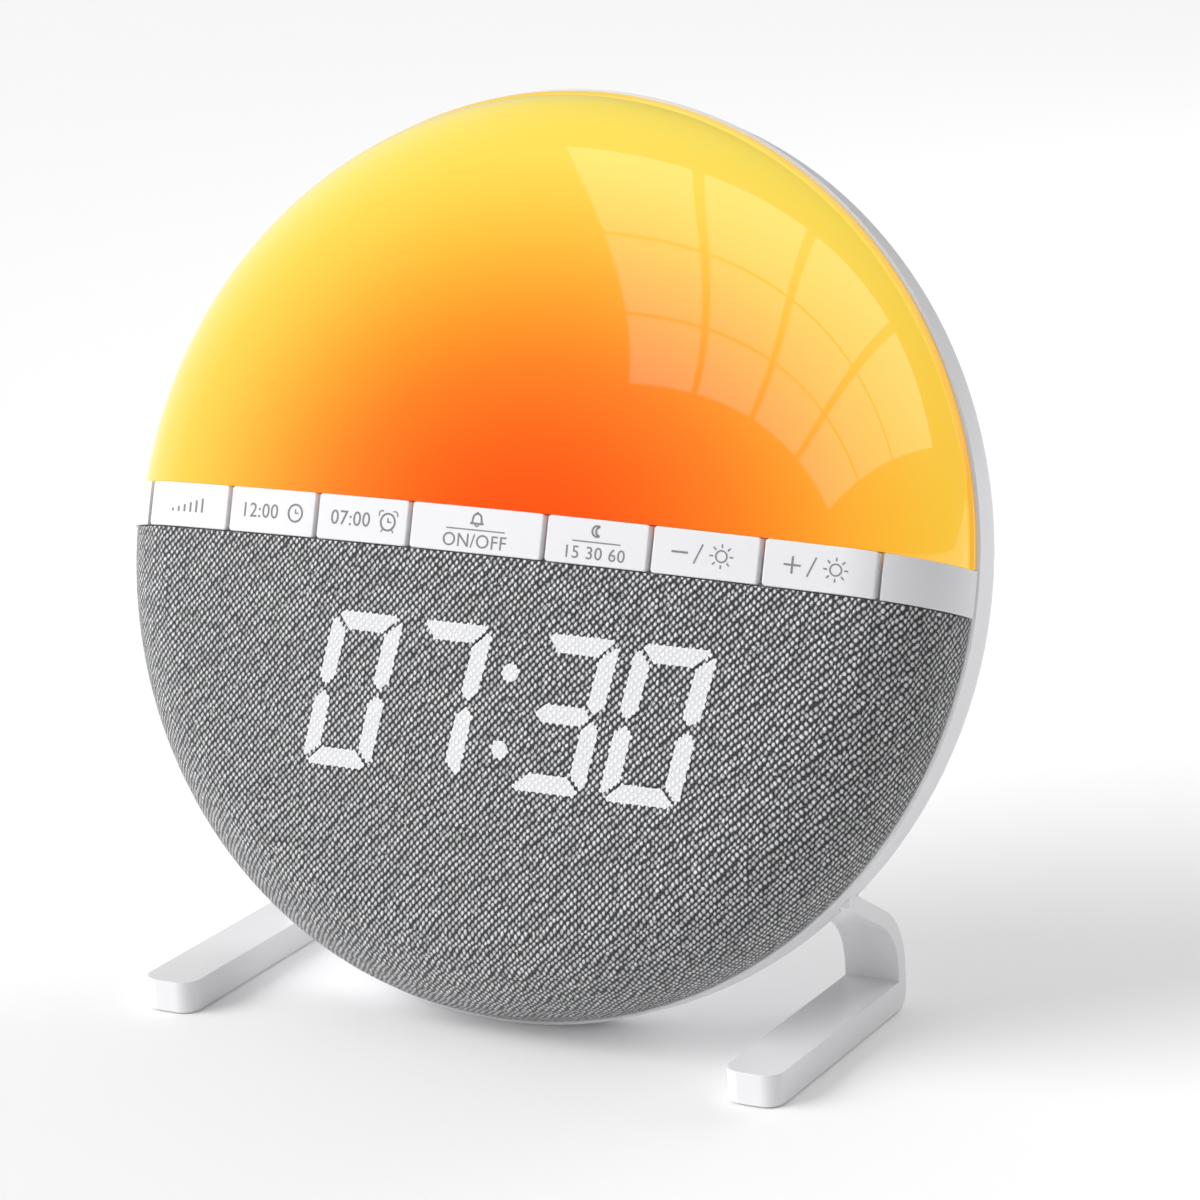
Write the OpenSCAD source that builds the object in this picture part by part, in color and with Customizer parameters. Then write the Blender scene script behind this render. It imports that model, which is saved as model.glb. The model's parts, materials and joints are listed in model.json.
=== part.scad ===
// Sunrise alarm clock: a round body that leans back on two bent legs.
// Upper half of the domed front is a light diffuser, lower half is cloth over a display,
// and a strip of seven push buttons runs between them.
// Millimetres, +Z up, the face looks along -Y, the origin is on the surface the clock stands on.

/* [Body] */
// Outer diameter of the rim
body_d = 171; // [160:0.5:176]
// Lean of the face from upright, in degrees
lean = 16.8; // [14:0.2:18]
// Gap between the body and the surface it stands on
floor_gap = 0.4; // [0.3:0.1:4]
// Width of the rim's lip outside the dome
lip_w = 0.6; // [0.5:0.05:1]
// Bevel on the front edge of the rim
lip_bevel = 0.4; // [0.2:0.05:0.45]
// Open seam between the dome and the rim
seam_gap = 0.3; // [0.2:0.05:0.5]
// Depth of the straight side wall
side_depth = 7; // [6.4:0.1:7.6]
// How much the side wall tapers in toward the back
side_draft = 0.4; // [0.2:0.1:1]
// Radius of the rounded back edge
back_edge_r = 6; // [5.5:0.5:7.5]
// Radius of the crown of the back
back_crown_r = 320; // [300:10:360]
// Wall thickness of the rear housing
housing_wall = 2; // [1.8:0.1:2.4]

/* [Dome] */
// Height of the dome above the seam
dome_h = 26.6; // [25.6:0.2:27.6]
// Radius of the dome's shallow crown
dome_crown_r = 335; // [315:5:365]
// Radius of the dome's shoulder
dome_shoulder_r = 21; // [19.5:0.25:22.5]
// Wall thickness of the diffuser
diffuser_wall = 2.2; // [1.8:0.1:2.6]
// Step from the cloth and strip down to the diffuser
diffuser_step = 0.5; // [0.4:0.05:0.8]
// Height of the small flange round the diffuser's foot
flange_h = 1.2; // [0.8:0.1:2]
// Thickness of the stretched cloth
cloth_t = 0.8; // [0.6:0.05:1]
// Wall thickness of the baffle under the cloth
baffle_wall = 2; // [1.6:0.1:2.4]

/* [Button strip] */
// Height of the strip
strip_h = 8.3; // [8:0.1:9]
// Height of the strip's middle above the body's middle
strip_rise = 0.7; // [0:0.1:2]
// Upward slope of the strip's edges from the face's normal, in degrees
strip_slope = 5.6; // [4:0.2:7]
// Gap between the strip and the dome halves
strip_gap = 0.15; // [0.1:0.01:0.25]
// How far the strip stands above the cloth
strip_proud = 0.4; // [0.3:0.05:0.5]
// Pitch of the six narrow buttons
button_pitch = 20.25; // [19.5:0.05:20.5]
// Pitch of the wide middle button
wide_pitch = 27.4; // [26.5:0.1:28]
// Gap between two buttons
button_gap = 0.85; // [0.7:0.05:1]
// Thickness of a button's cap
cap_t = 1.6; // [1.4:0.1:1.8]
// Corner radius of a button's cap
cap_corner_r = 0.6; // [0.4:0.1:1]
// How far a button travels
button_travel = 0.6; // [0.4:0.05:0.7]
// Width of the rails above and below the button openings
rail_w = 0.8; // [0.7:0.05:1]
// Thickness of the rails
rail_t = 1.4; // [1.2:0.1:1.6]
// Inset of a button's neck from the ends of its cap
neck_inset = 1.6; // [1.4:0.1:2]
// Thickness of the flange that keeps a button in
keeper_t = 1; // [0.8:0.1:1.2]
// Radius of the posts that carry the strip
strip_post_r = 1.5; // [1.3:0.1:1.6]
// Sliding clearance of a button in its opening
slide_gap = 0.15; // [0.1:0.01:0.2]

/* [Switches] */
// Height of the button board's front above the mid frame
switch_board_z = 6; // [5.6:0.1:6.4]
// Width of a switch body
switch_w = 6; // [5.6:0.1:6.4]
// Height of a switch body
switch_h = 3.1; // [2.9:0.1:3.4]
// Radius of a switch plunger
plunger_r = 1.7; // [1.5:0.05:1.9]
// How far a plunger stands out of its switch at rest
plunger_out = 1.2; // [1:0.1:1.4]
// Running clearance round a plunger
plunger_gap = 0.05; // [0.03:0.01:0.08]

/* [Display] */
// Middle of the display across the face
display_x = 7; // [0:0.5:9]
// Middle of the display below the body's middle
display_y = -27.5; // [-29:0.25:-26.5]
// Height of a digit
digit_h = 28.4; // [26:0.2:29]
// Width of a digit
digit_w = 13.4; // [12.4:0.2:14]
// Stroke of a digit's segments
segment_w = 3.5; // [3:0.1:3.8]
// Gap between two segments
segment_gap = 0.5; // [0.4:0.05:0.7]
// Slant of the digits, in degrees
digit_slant = 11.5; // [8:0.5:13]
// Distance between the digits of a pair
digit_pitch = 18.4; // [17.8:0.1:18.6]
// Distance between the digits either side of the colon
colon_pitch = 25; // [24.4:0.1:25.4]
// Radius of a colon dot
colon_r = 1.75; // [1.5:0.05:2]
// Height of the colon dots above and below the middle
colon_rise = 6.9; // [6:0.1:8]
// Width of the display case
display_case_w = 86; // [84:0.5:88]
// Height of the display case
display_case_h = 32; // [31:0.25:33]
// Clearance round the display case in the baffle's window
window_gap = 0.4; // [0.3:0.05:0.6]

/* [Boards] */
// Thickness of the mid frame's plate
mid_t = 2; // [1.8:0.1:2.2]
// Thickness of a circuit board
board_t = 1.6; // [1.4:0.1:1.8]
// Height of the posts under the light board
light_post_h = 3; // [2.6:0.1:4]
// Radius of the light board
light_board_r = 66; // [62:0.5:68]
// Distance of the outer ring of lights from the light board's edge
led_inset = 10; // [9:0.5:12]
// Distance between the rings of lights
led_ring_pitch = 15; // [13:0.5:16]
// Height of the posts under the display board
display_post_h = 7.2; // [6.6:0.1:7.8]
// Height of the posts behind the mid frame that carry the main board
main_post_h = 4; // [3.6:0.1:4.4]
// Width of the main board
main_board_w = 84; // [80:0.5:86]
// Height of the main board
main_board_h = 60; // [56:0.5:61]
// Middle of the main board above the body's middle
main_board_y = -3; // [-4:0.25:-2]
// Radius of the board posts
post_r = 2.4; // [2.2:0.1:2.8]
// Core radius of the board screws
board_screw_r = 0.9; // [0.8:0.05:1]

/* [Power and battery] */
// Height of the power inlet on the back
inlet_y = -24; // [-25:0.25:-23]
// Radius of the inlet's nose
inlet_nose_r = 4.6; // [4.4:0.1:5]
// Radius of the inlet's socket
inlet_bore_r = 2.85; // [2.8:0.01:2.95]
// Radius of the inlet's centre pin
inlet_pin_r = 1; // [0.95:0.01:1.05]
// Depth of the inlet's socket
inlet_depth = 9.5; // [9:0.1:10]
// Height of the battery door on the back
door_y = 10; // [9:0.25:11]
// Radius of the battery door
door_r = 14; // [13.6:0.1:14.4]
// Running gap round the battery door
door_gap = 0.3; // [0.25:0.05:0.4]
// Angle the battery door turns to unlock, in degrees
door_turn = 60; // [50:5:70]
// Radius of the coin cell
cell_r = 10; // [9.5:0.1:10.2]
// Thickness of the coin cell
cell_t = 3.2; // [2.5:0.1:3.4]

/* [Speaker] */
// Distance of the speaker's middle from the edge of the dome
speaker_inset = 22.9; // [22.4:0.25:23.4]
// Radius of the speaker's flange
speaker_r = 17.5; // [16.5:0.25:17.75]
// Radius of the speaker's magnet
magnet_r = 10.5; // [10:0.25:11]
// Thickness of the speaker's magnet
magnet_t = 4.2; // [3.6:0.1:4.6]
// Depth of the speaker's basket behind its flange
basket_depth = 7; // [6.4:0.1:7.2]
// Width of the sound slots in the baffle
sound_slot_w = 1.8; // [1.4:0.1:2]
// Pitch of the sound slots in the baffle
sound_slot_pitch = 3.8; // [3.6:0.1:4.2]

/* [Legs] */
// Distance of each leg from the middle
leg_x = 60; // [58:0.25:61]
// Width of a leg
leg_w = 10.8; // [10:0.2:12]
// Front end of a leg
leg_front = -43.1; // [-50:0.5:-38]
// Back of a leg
leg_back = 11.6; // [11:0.2:16]
// Thickness of a leg at its front end
leg_front_t = 5.9; // [5.4:0.1:6.4]
// Thickness of a leg where it turns up
leg_heel_t = 5.4; // [5:0.1:5.8]
// Thickness of a leg's arm
leg_arm_t = 3; // [2.8:0.1:3.4]
// Slope of a leg's arm, in degrees
leg_arm_slope = 30; // [28:0.5:32]
// Radius of the bend below a leg's arm
leg_bend_r = 16; // [14:0.5:17]
// Radius of a leg's heel
leg_heel_r = 3; // [2:0.25:4]
// Corner radius of a leg's front end
leg_corner_r = 3.4; // [2:0.2:4.4]
// Clearance of a leg in the housing's slot
leg_gap = 0.15; // [0.1:0.01:0.25]
// Radius of the rubber foot pads
pad_r = 3.6; // [3:0.1:4.2]
// Thickness of the rubber foot pads
pad_t = 1.2; // [1:0.1:1.5]
// How far the foot pads stand out below the legs
pad_proud = 0.3; // [0.2:0.05:0.5]

/* [Fasteners] */
// Distance of the housing screws from the middle
housing_screw_ring = 74; // [73:0.25:74.5]
// Core radius of the housing screws
housing_screw_r = 1.25; // [1.1:0.05:1.4]
// Radius of the screw heads
screw_head_r = 2.6; // [2.4:0.1:2.8]
// Height of the screw heads
screw_head_h = 2; // [1.6:0.1:2.2]
// Radius of the housing's screw bosses
boss_r = 4.6; // [4.4:0.1:4.8]

/* [Hidden] */

fine = 160;      // facets of the large round faces
small = 32;      // facets of bores, pins and posts
far = 200;       // longer than any piece, for cutting tools
clip_w = 8;      // width of the clips that hold the dome halves
clip_t = 1.6;    // thickness of those clips
clip_reach = 4;  // how far they reach behind the mid frame's front
fit_gap = 0.2;   // clearance of parts that drop into place
shoulder_lift = 0.03;   // how far a dome's shoulder stands proud of its crown, so that the arcs cross

rim_r = body_d / 2;
dome_r = rim_r - lip_w;
back_base_r = rim_r - side_draft;
back_h = back_crown_r - sqrt(pow(back_crown_r - back_edge_r + shoulder_lift, 2)
    - pow(back_base_r - back_edge_r, 2));
plate_r = rim_r - housing_wall - side_draft / 2 - fit_gap;
centre_h = floor_gap + rim_r * cos(lean) + (seam_gap + lip_bevel) * sin(lean);
back_reach = (back_base_r - back_edge_r) * sin(lean) + side_depth * cos(lean) + back_edge_r;
face_y = -(leg_front + back_reach) / 2;   // puts the middle of the outer box over the origin

// The button strip
strip_half = strip_h / 2;
cap_half = strip_half - strip_gap / 2;
neck_half = strip_half - rail_w - slide_gap;
edges = [for (k = [-3.5:1:3.5]) sign(k) * (wide_pitch / 2 + (abs(k) - 0.5) * button_pitch)];
cap_in = strip_proud - cap_t;
rail_out = cap_in - button_travel - 0.25;
rail_in = rail_out - rail_t;
keeper_out = rail_in - 0.05;
keeper_in = keeper_out - keeper_t;
plunger_top = switch_board_z + switch_h + plunger_out;
strip_posts = [edges[1], edges[3], edges[4], edges[6]];
dam_in = strip_half + 0.45;
dam_out = dam_in + 1.4;

// Where the boards are screwed down, in the face's own plane
light_posts = [[-50, 18], [50, 18], [-34, 48], [34, 48]];
display_board_w = display_case_w + 8;
display_board_h = display_case_h + 2;
display_posts = [for (s = [-1, 1], t = [-1, 1])
    [display_x + s * (display_case_w / 2 + 1.6), display_y + t * (display_board_h / 2 - 4)]];
main_posts = [for (s = [-1, 1], t = [-1, 1])
    [s * (main_board_w / 2 - 4), main_board_y + t * (main_board_h / 2 - 4)]];
button_posts = [edges[2], edges[5]];
led_rings = [for (k = [0:2])   // radius and number of the sunrise lights
    [light_board_r - led_inset - (2 - k) * led_ring_pitch, 5 + 3 * k]];
led_span = [24, 156];
led_w = 5;
housing_screws_at = [for (a = [48, 132, 240, 300]) housing_screw_ring * [cos(a), sin(a)]];
head_seat_z = -10;
speaker_y = speaker_inset - dome_r;

// Back of the housing
main_back_z = -mid_t - main_post_h - board_t;
door_face_z = -side_depth - back_h - 0.2;
inlet_face_z = door_face_z + 2.1;
ledge_t = 1;
door_flange_t = 1;

// Legs, in the plane that runs front to back
leg_entry_z = 1 - side_depth;
leg_entry_y = -sqrt(pow(rim_r - 1, 2) - pow(leg_x + leg_w / 2, 2)) - 0.6;
block_z = [-side_depth - 2.5, -3.5];
block_y = [leg_entry_y - 1.5, -42.6];
block_r = back_base_r - back_edge_r - fit_gap
    + sqrt(pow(back_edge_r - housing_wall, 2) - pow(block_z[0] + side_depth, 2));
leg_screw_at = [leg_x, block_y[1] - 3.8];
pad_y = [leg_front + 7, leg_back - 9];

// A point of the face's own side plane, given as [up the face, out of the face]
function side_point(p) = [p[0] * sin(lean) - p[1] * cos(lean),
                          centre_h + p[0] * cos(lean) + p[1] * sin(lean)];
// Height at which the arc of a dome's shoulder has its centre
function shoulder_z(h, crown, shoulder, base) =
    h - crown + sqrt(pow(crown - shoulder + shoulder_lift, 2) - pow(base - shoulder, 2));

// Everything on the body is drawn facing up and then leaned back onto the legs
module stand_frame() translate([0, face_y, 0]) children();
module face_frame() stand_frame() translate([0, 0, centre_h]) rotate([90 - lean, 0, 0]) children();
module upright() rotate([lean - 90, 0, 0]) translate([0, 0, -centre_h]) children();   // undoes the lean
module strip_frame() rotate([-strip_slope, 0, 0]) translate([0, strip_rise, 0]) children();

// Half profile of a dome: a shallow crown arc, cut into a shoulder disc that stands just proud of it
module dome_profile(h, crown, shoulder, base, off) {
    cx = base - shoulder;
    cz = shoulder_z(h, crown, shoulder, base);
    // the arcs change over on the line through both centres
    line = [cx, cz - h + crown];
    foot = [cx, cz] + line * (max(cz, 0) - cz) / line[1];
    top = [cx, cz] + line * (h + shoulder - cz) / line[1];
    intersection() {
        translate([0, h - crown]) circle(r = crown + off, $fn = fine * 6);
        square([base + shoulder, h + shoulder]);
        union() {
            polygon(concat([[0, 0], [foot[0], 0]], cz > 0 ? [foot] : [], [top, [0, top[1]]]));
            translate([cx, cz]) circle(r = shoulder + off, $fn = fine);
        }
    }
}

module front_profile(off) dome_profile(dome_h, dome_crown_r, dome_shoulder_r, dome_r, off);
module back_profile(off) translate([0, -side_depth]) mirror([0, 1])
    dome_profile(back_h, back_crown_r, back_edge_r, back_base_r, off);
module dome_solid(off) rotate_extrude($fn = fine) front_profile(off);
module dome_shell(out, in) rotate_extrude($fn = fine) difference() {
    front_profile(out);
    front_profile(in);
}
// Slab between two heights of the strip's own frame
module strip_slab(low, high) strip_frame() translate([-far / 2, low, -far / 2])
    cube([far, high - low, far]);
module rounded_rect(w, h, r) {
    square([w - 2 * r, h], center = true);
    square([w, h - 2 * r], center = true);
    for (sx = [-1, 1], sy = [-1, 1]) translate([sx * (w / 2 - r), sy * (h / 2 - r)])
        circle(r = r, $fn = small);
}
module posts(at, r, z0, z1) for (p = at) translate([p[0], p[1], z0])
    cylinder(r = r, h = z1 - z0, $fn = small);
module at_angle(a, r) rotate([0, 0, a]) translate([r, 0, 0]) children();

// ---- rear housing ----
module housing_outside() {
    polygon([[0, -seam_gap], [rim_r - lip_bevel, -seam_gap], [rim_r, -seam_gap - lip_bevel],
             [back_base_r, -side_depth], [0, -side_depth]]);
    back_profile(0);
}
module housing_inside() {
    polygon([[0, 1], [rim_r - housing_wall, 1], [rim_r - housing_wall, -seam_gap - lip_bevel],
             [back_base_r - housing_wall, -side_depth], [0, -side_depth]]);
    back_profile(-housing_wall);
}
module housing_bore(at, r, z0, z1) translate([at[0], at[1], z0]) cylinder(r = r, h = z1 - z0, $fn = small * 2);
// Everything lower than h above the surface that the clock stands on: the underside is flat there
module below(h) upright() translate([-far / 2, -far / 2, h - far]) cube(far);
module rear_housing() color("whitesmoke") {
    face_frame() difference() {
        union() {
            rotate_extrude($fn = fine) difference() { housing_outside(); housing_inside(); }
            intersection() {
                rotate_extrude($fn = fine) housing_outside();
                union() {
                    posts(housing_screws_at, boss_r, -far, -mid_t);
                    for (s = [-1, 1]) housing_bore([s * leg_screw_at[0], leg_screw_at[1]],
                        3.4, -far, block_z[0]);
                    housing_bore([0, door_y], door_r + 2, -far, main_back_z - cell_t - 1.6);
                    below(floor_gap + housing_wall - 2 * fit_gap);
                }
            }
            housing_bore([0, door_y], door_r + 2.4, door_face_z, door_face_z + 2);
        }
        for (p = housing_screws_at) {
            housing_bore(p, screw_head_r + 0.4, -far, head_seat_z);
            housing_bore(p, housing_screw_r + 0.2, -far, 1);
        }
        for (s = [-1, 1]) housing_bore([s * leg_screw_at[0], leg_screw_at[1]],
            housing_screw_r, -15, block_z[0] + 1);
        // battery well, ledge for the twist lock and its two notches
        housing_bore([0, door_y], door_r + 0.6, door_face_z + door_flange_t + 0.2 + ledge_t, 1);
        housing_bore([0, door_y], door_r + door_gap, door_face_z - 1, door_face_z + door_flange_t + 0.2);
        housing_bore([0, door_y], door_r - 1.6, door_face_z - 1, 1);
        translate([0, door_y, 0]) for (s = [0, 180]) rotate([0, 0, s - door_turn])
            intersection() {
                translate([0, -4.4, door_face_z]) cube([far, 8.8, 4]);
                translate([0, 0, door_face_z]) cylinder(r = door_r + 0.15, h = 4, $fn = small * 2);
            }
        // power inlet
        housing_bore([0, inlet_y], inlet_nose_r + 2, -far, inlet_face_z);
        housing_bore([0, inlet_y], inlet_nose_r + fit_gap, -far, 1);
        // vents that let the light board breathe
        for (a = [54:6:126]) at_angle(a, 48) translate([-6.5, 0, -far]) linear_extrude(far)
            rounded_rect(13, 2, 0.9);
        for (s = [-1, 1]) leg_slot(s);
        below(floor_gap);
    }
}

// ---- legs ----
module leg_outline(grow) {
    base = pad_proud;
    out = leg_back + grow;
    entry = side_point([leg_entry_y, leg_entry_z]);
    slope = [cos(leg_arm_slope), -sin(leg_arm_slope)];
    normal = [sin(leg_arm_slope), cos(leg_arm_slope)];
    start = entry + grow * normal;
    bend = leg_bend_r + grow;
    corner_z = start[1] - (out - start[0]) * tan(leg_arm_slope);
    turn = bend * tan((90 - leg_arm_slope) / 2);
    inner_bend = leg_bend_r - leg_arm_t - grow;
    centre = [out - bend, corner_z - turn];
    tip = side_point([leg_entry_y, block_z[1]])[0] + 0.4;
    tip_z = function (offset) start[1] + (start[0] - tip) * tan(leg_arm_slope)
        - offset / cos(leg_arm_slope);
    thick = leg_arm_t + 2 * grow;
    difference() {
        union() {
            polygon([[leg_front, base], [out - leg_heel_r, base], [out, base + leg_heel_r],
                     [out, centre[1]], centre + bend * normal, [tip, tip_z(0)], [tip, tip_z(thick)],
                     [leg_front, base + leg_front_t]]);
            intersection() {
                translate(centre) circle(r = bend, $fn = fine);
                translate([-far / 2, base + leg_heel_t]) square(far);
            }
            intersection() {
                translate([out - leg_heel_r, base + leg_heel_r]) circle(r = leg_heel_r, $fn = small);
                translate([leg_front, base]) square(far);
            }
        }
        // the open side of the hook
        intersection() {
            union() {
                polygon([[leg_front - far, base], [out - thick, base], [out - thick, centre[1]],
                         centre + inner_bend * normal, [tip, tip_z(thick)],
                         [leg_front - far, tip_z(thick)]]);
                translate(centre) circle(r = inner_bend, $fn = fine);
            }
            polygon([[leg_front - far, base + leg_front_t], [leg_front, base + leg_front_t],
                     [out - thick, base + leg_heel_t], [out - thick, far], [leg_front - far, far]]);
        }
    }
}
module along_x(x, w) translate([x - w / 2, 0, 0]) rotate([90, 0, 90]) linear_extrude(w) children();
module leg(s) color("white") {
    x = s * leg_x;
    difference() {
        union() {
            stand_frame() intersection() {
                along_x(x, leg_w) leg_outline(0);
                translate([x, leg_front + far / 2, 0]) linear_extrude(far)
                    rounded_rect(leg_w, far, leg_corner_r);
            }
            // block that the screw from inside pulls down onto the housing's boss
            face_frame() intersection() {
                translate([x - leg_w / 2, block_y[0], block_z[0]])
                    cube([leg_w, block_y[1] - block_y[0], block_z[1] - block_z[0]]);
                cylinder(r = block_r, h = far, center = true, $fn = fine);
            }
        }
        face_frame() {
            housing_bore([x, leg_screw_at[1]], housing_screw_r + 0.15, block_z[0] - 1, block_z[1] + 1);
            housing_bore([x, leg_screw_at[1]], screw_head_r + 0.3, block_z[1] - screw_head_h - 0.6,
                block_z[1] + 1);
        }
        stand_frame() for (y = pad_y) translate([x, y, -1]) cylinder(r = pad_r, h = 1 + pad_t, $fn = small);
    }
}
module leg_slot(s) upright() along_x(s * leg_x, leg_w + 2 * leg_gap) leg_outline(leg_gap);
module left_leg() leg(-1);
module right_leg() leg(1);
module foot_pads() color("dimgray") stand_frame() for (s = [-1, 1], y = pad_y)
    translate([s * leg_x, y, 0]) cylinder(r = pad_r, h = pad_t, $fn = small);

// ---- mid frame ----
module clip_at(a, grow) at_angle(a, plate_r - 4.2) translate([-clip_t / 2 - grow, -clip_w / 2 - grow, 0])
    children();
module clips(angles, off) intersection() {
    for (a = angles) clip_at(a, 0) translate([0, 0, -clip_reach]) {
        cube([clip_t, clip_w, dome_h]);
        translate([clip_t - 0.1, 0, 0.4]) cube([0.9, clip_w, 1.2]);
    }
    union() {
        dome_solid(off);
        mirror([0, 0, 1]) cylinder(r = plate_r, h = far, $fn = fine);
    }
}
upper_clips = [30, 90, 150];
lower_clips = [200, 250, 290, 340];
module light_dam(off, low) intersection() {
    translate([0, 0, -mid_t / 2]) dome_solid(off - fit_gap);
    strip_slab(low, low + dam_out - dam_in);
}
module mid_plate() {
    translate([0, 0, -mid_t]) cylinder(r = plate_r, h = mid_t, $fn = fine);
    light_dam(-diffuser_step - diffuser_wall, dam_in);
    light_dam(-cloth_t - baffle_wall, -dam_out);
}
module mid_frame() color("gainsboro") face_frame() difference() {
    union() {
        mid_plate();
        posts(light_posts, post_r, -mid_t, light_post_h);
        posts(display_posts, post_r, -mid_t, display_post_h);
        posts(main_posts, post_r, -mid_t - main_post_h, 0);
        posts(housing_screws_at, boss_r - 1.2, -mid_t, 6);
        // ribs across the two dams carry the button board
        strip_frame() for (x = button_posts) translate([x - post_r, -dam_in - 0.5, -mid_t / 2])
            cube([2 * post_r, 2 * dam_in + 1, switch_board_z - board_t + mid_t / 2]);
        translate([0, speaker_y, 0]) difference() {
            cylinder(r = speaker_r + 1.6, h = 4, $fn = fine);
            translate([0, 0, -1]) cylinder(r = speaker_r + fit_gap, h = 6, $fn = fine);
        }
    }
    posts(light_posts, board_screw_r, -mid_t - 1, light_post_h + 1);
    posts(display_posts, board_screw_r, -mid_t - 1, display_post_h + 1);
    posts(main_posts, board_screw_r, -mid_t - main_post_h - 1, 1);
    posts(housing_screws_at, housing_screw_r, -mid_t - 1, 7);
    strip_frame() posts([for (x = button_posts) [x, 0]], board_screw_r, 0.5, switch_board_z);
    translate([0, speaker_y, -mid_t - 1]) cylinder(r = speaker_r - 1.5, h = mid_t + 2, $fn = fine);
    for (a = concat(upper_clips, lower_clips)) clip_at(a, fit_gap) translate([0, 0, -mid_t - 1])
        cube([clip_t + 2 * fit_gap + 0.9, clip_w + 2 * fit_gap, mid_t + 1.5]);
    // slots for the headers and the light lead
    for (p = header_slots) translate([p[0], p[1], -mid_t - 1]) linear_extrude(mid_t + 2)
        square([p[2], p[3]], center = true);
}

// ---- front halves ----
module diffuser_dome() color("orange") face_frame() {
    difference() {
        union() {
            dome_shell(-diffuser_step, -diffuser_step - diffuser_wall);
            rotate_extrude($fn = fine) translate([dome_r - diffuser_step - 1, 0])
                square([diffuser_step + 1, flange_h]);
            clips(upper_clips, -diffuser_step - diffuser_wall / 2);
        }
        strip_slab(-far, strip_half + strip_gap);
    }
}
module baffle_window(grow) translate([display_x, display_y, 0]) linear_extrude(far)
    rounded_rect(display_case_w + 2 * grow, display_case_h + 2 * grow, 1);
module front_baffle() color("darkgray") face_frame() {
    difference() {
        union() {
            dome_shell(-cloth_t, -cloth_t - baffle_wall);
            clips(lower_clips, -cloth_t - baffle_wall / 2);
        }
        strip_slab(-strip_half - strip_gap, far);
        baffle_window(window_gap);
        // sound slots, a round field of bars in front of the speaker
        for (k = [-3:3]) {
            reach = sqrt(pow(speaker_r - 2, 2) - pow(k * sound_slot_pitch, 2));
            translate([0, speaker_y + k * sound_slot_pitch, 0]) linear_extrude(far)
                rounded_rect(2 * reach, sound_slot_w, sound_slot_w / 2 - 0.05);
        }
    }
}
module cloth_cover() color("gray") face_frame() difference() {
    dome_shell(0, -cloth_t);
    strip_slab(-strip_half - strip_gap, far);
}

// ---- button strip ----
module button_frame() color("white") face_frame() {
    difference() {
        intersection() {
            dome_shell(rail_out, rail_in);
            strip_slab(-strip_half, strip_half);
        }
        for (k = [0:6]) strip_frame() translate([edges[k] + button_gap / 2 + neck_inset - slide_gap,
            -neck_half - slide_gap, 0])
            cube([edges[k + 1] - edges[k] - button_gap - 2 * (neck_inset - slide_gap),
                  2 * (neck_half + slide_gap), far]);
    }
    // plain end pieces
    for (s = [0, 1]) mirror([s, 0, 0]) intersection() {
        dome_shell(strip_proud, rail_in);
        strip_slab(-cap_half, cap_half);
        translate([edges[7] + button_gap / 2, -far / 2, 0]) cube(far);
    }
    intersection() {
        dome_solid(rail_out - rail_t / 2);
        strip_frame() for (x = strip_posts) translate([x, 0, -10])
            cylinder(r = strip_post_r, h = far, $fn = small);
    }
}
module button(k) color("white") {
    x0 = edges[k] + button_gap / 2;
    x1 = edges[k + 1] - button_gap / 2;
    mid = (x0 + x1) / 2;
    face_frame() union() {
        intersection() {
            dome_shell(strip_proud, cap_in);
            strip_frame() translate([mid, 0, 0]) linear_extrude(far)
                rounded_rect(x1 - x0, 2 * cap_half, cap_corner_r);
        }
        intersection() {
            dome_shell(cap_in + 0.2, keeper_in);
            strip_frame() translate([x0 + neck_inset, -neck_half, 0])
                cube([x1 - x0 - 2 * neck_inset, 2 * neck_half, far]);
        }
        intersection() {
            dome_shell(keeper_out, keeper_in);
            strip_frame() translate([x0 + neck_inset, -neck_half - 0.75, 0])
                cube([x1 - x0 - 2 * neck_inset, 2 * neck_half + 1.5, far]);
        }
        intersection() {
            dome_solid(keeper_out - keeper_t / 2);
            strip_frame() translate([mid, 0, plunger_top]) cylinder(r = 1.5, h = far, $fn = small);
        }
    }
}
module at_switch(k) face_frame() strip_frame()
    translate([(edges[k] + edges[k + 1]) / 2, 0, switch_board_z]) children();
module plunger(k) color("black") at_switch(k) translate([0, 0, button_travel + 0.2])
    cylinder(r = plunger_r, h = switch_h + plunger_out - button_travel - 0.2, $fn = small);
module switch_bodies() color("silver") for (k = [0:6]) at_switch(k) difference() {
    translate([-switch_w / 2, -switch_w / 2, 0]) cube([switch_w, switch_w, switch_h]);
    translate([0, 0, 0.15]) cylinder(r = plunger_r + plunger_gap, h = switch_h, $fn = small);
}
module button_board() color("darkgreen") face_frame() strip_frame() difference() {
    translate([-edges[7] + 2, -dam_in + 0.5, switch_board_z - board_t])
        cube([2 * edges[7] - 4, 2 * dam_in - 1, board_t]);
    for (x = strip_posts) translate([x, 0, 0]) cylinder(r = strip_post_r + fit_gap, h = far, $fn = small);
    for (x = button_posts) translate([x, 0, 0]) cylinder(r = board_screw_r, h = far, $fn = small);
}

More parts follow.
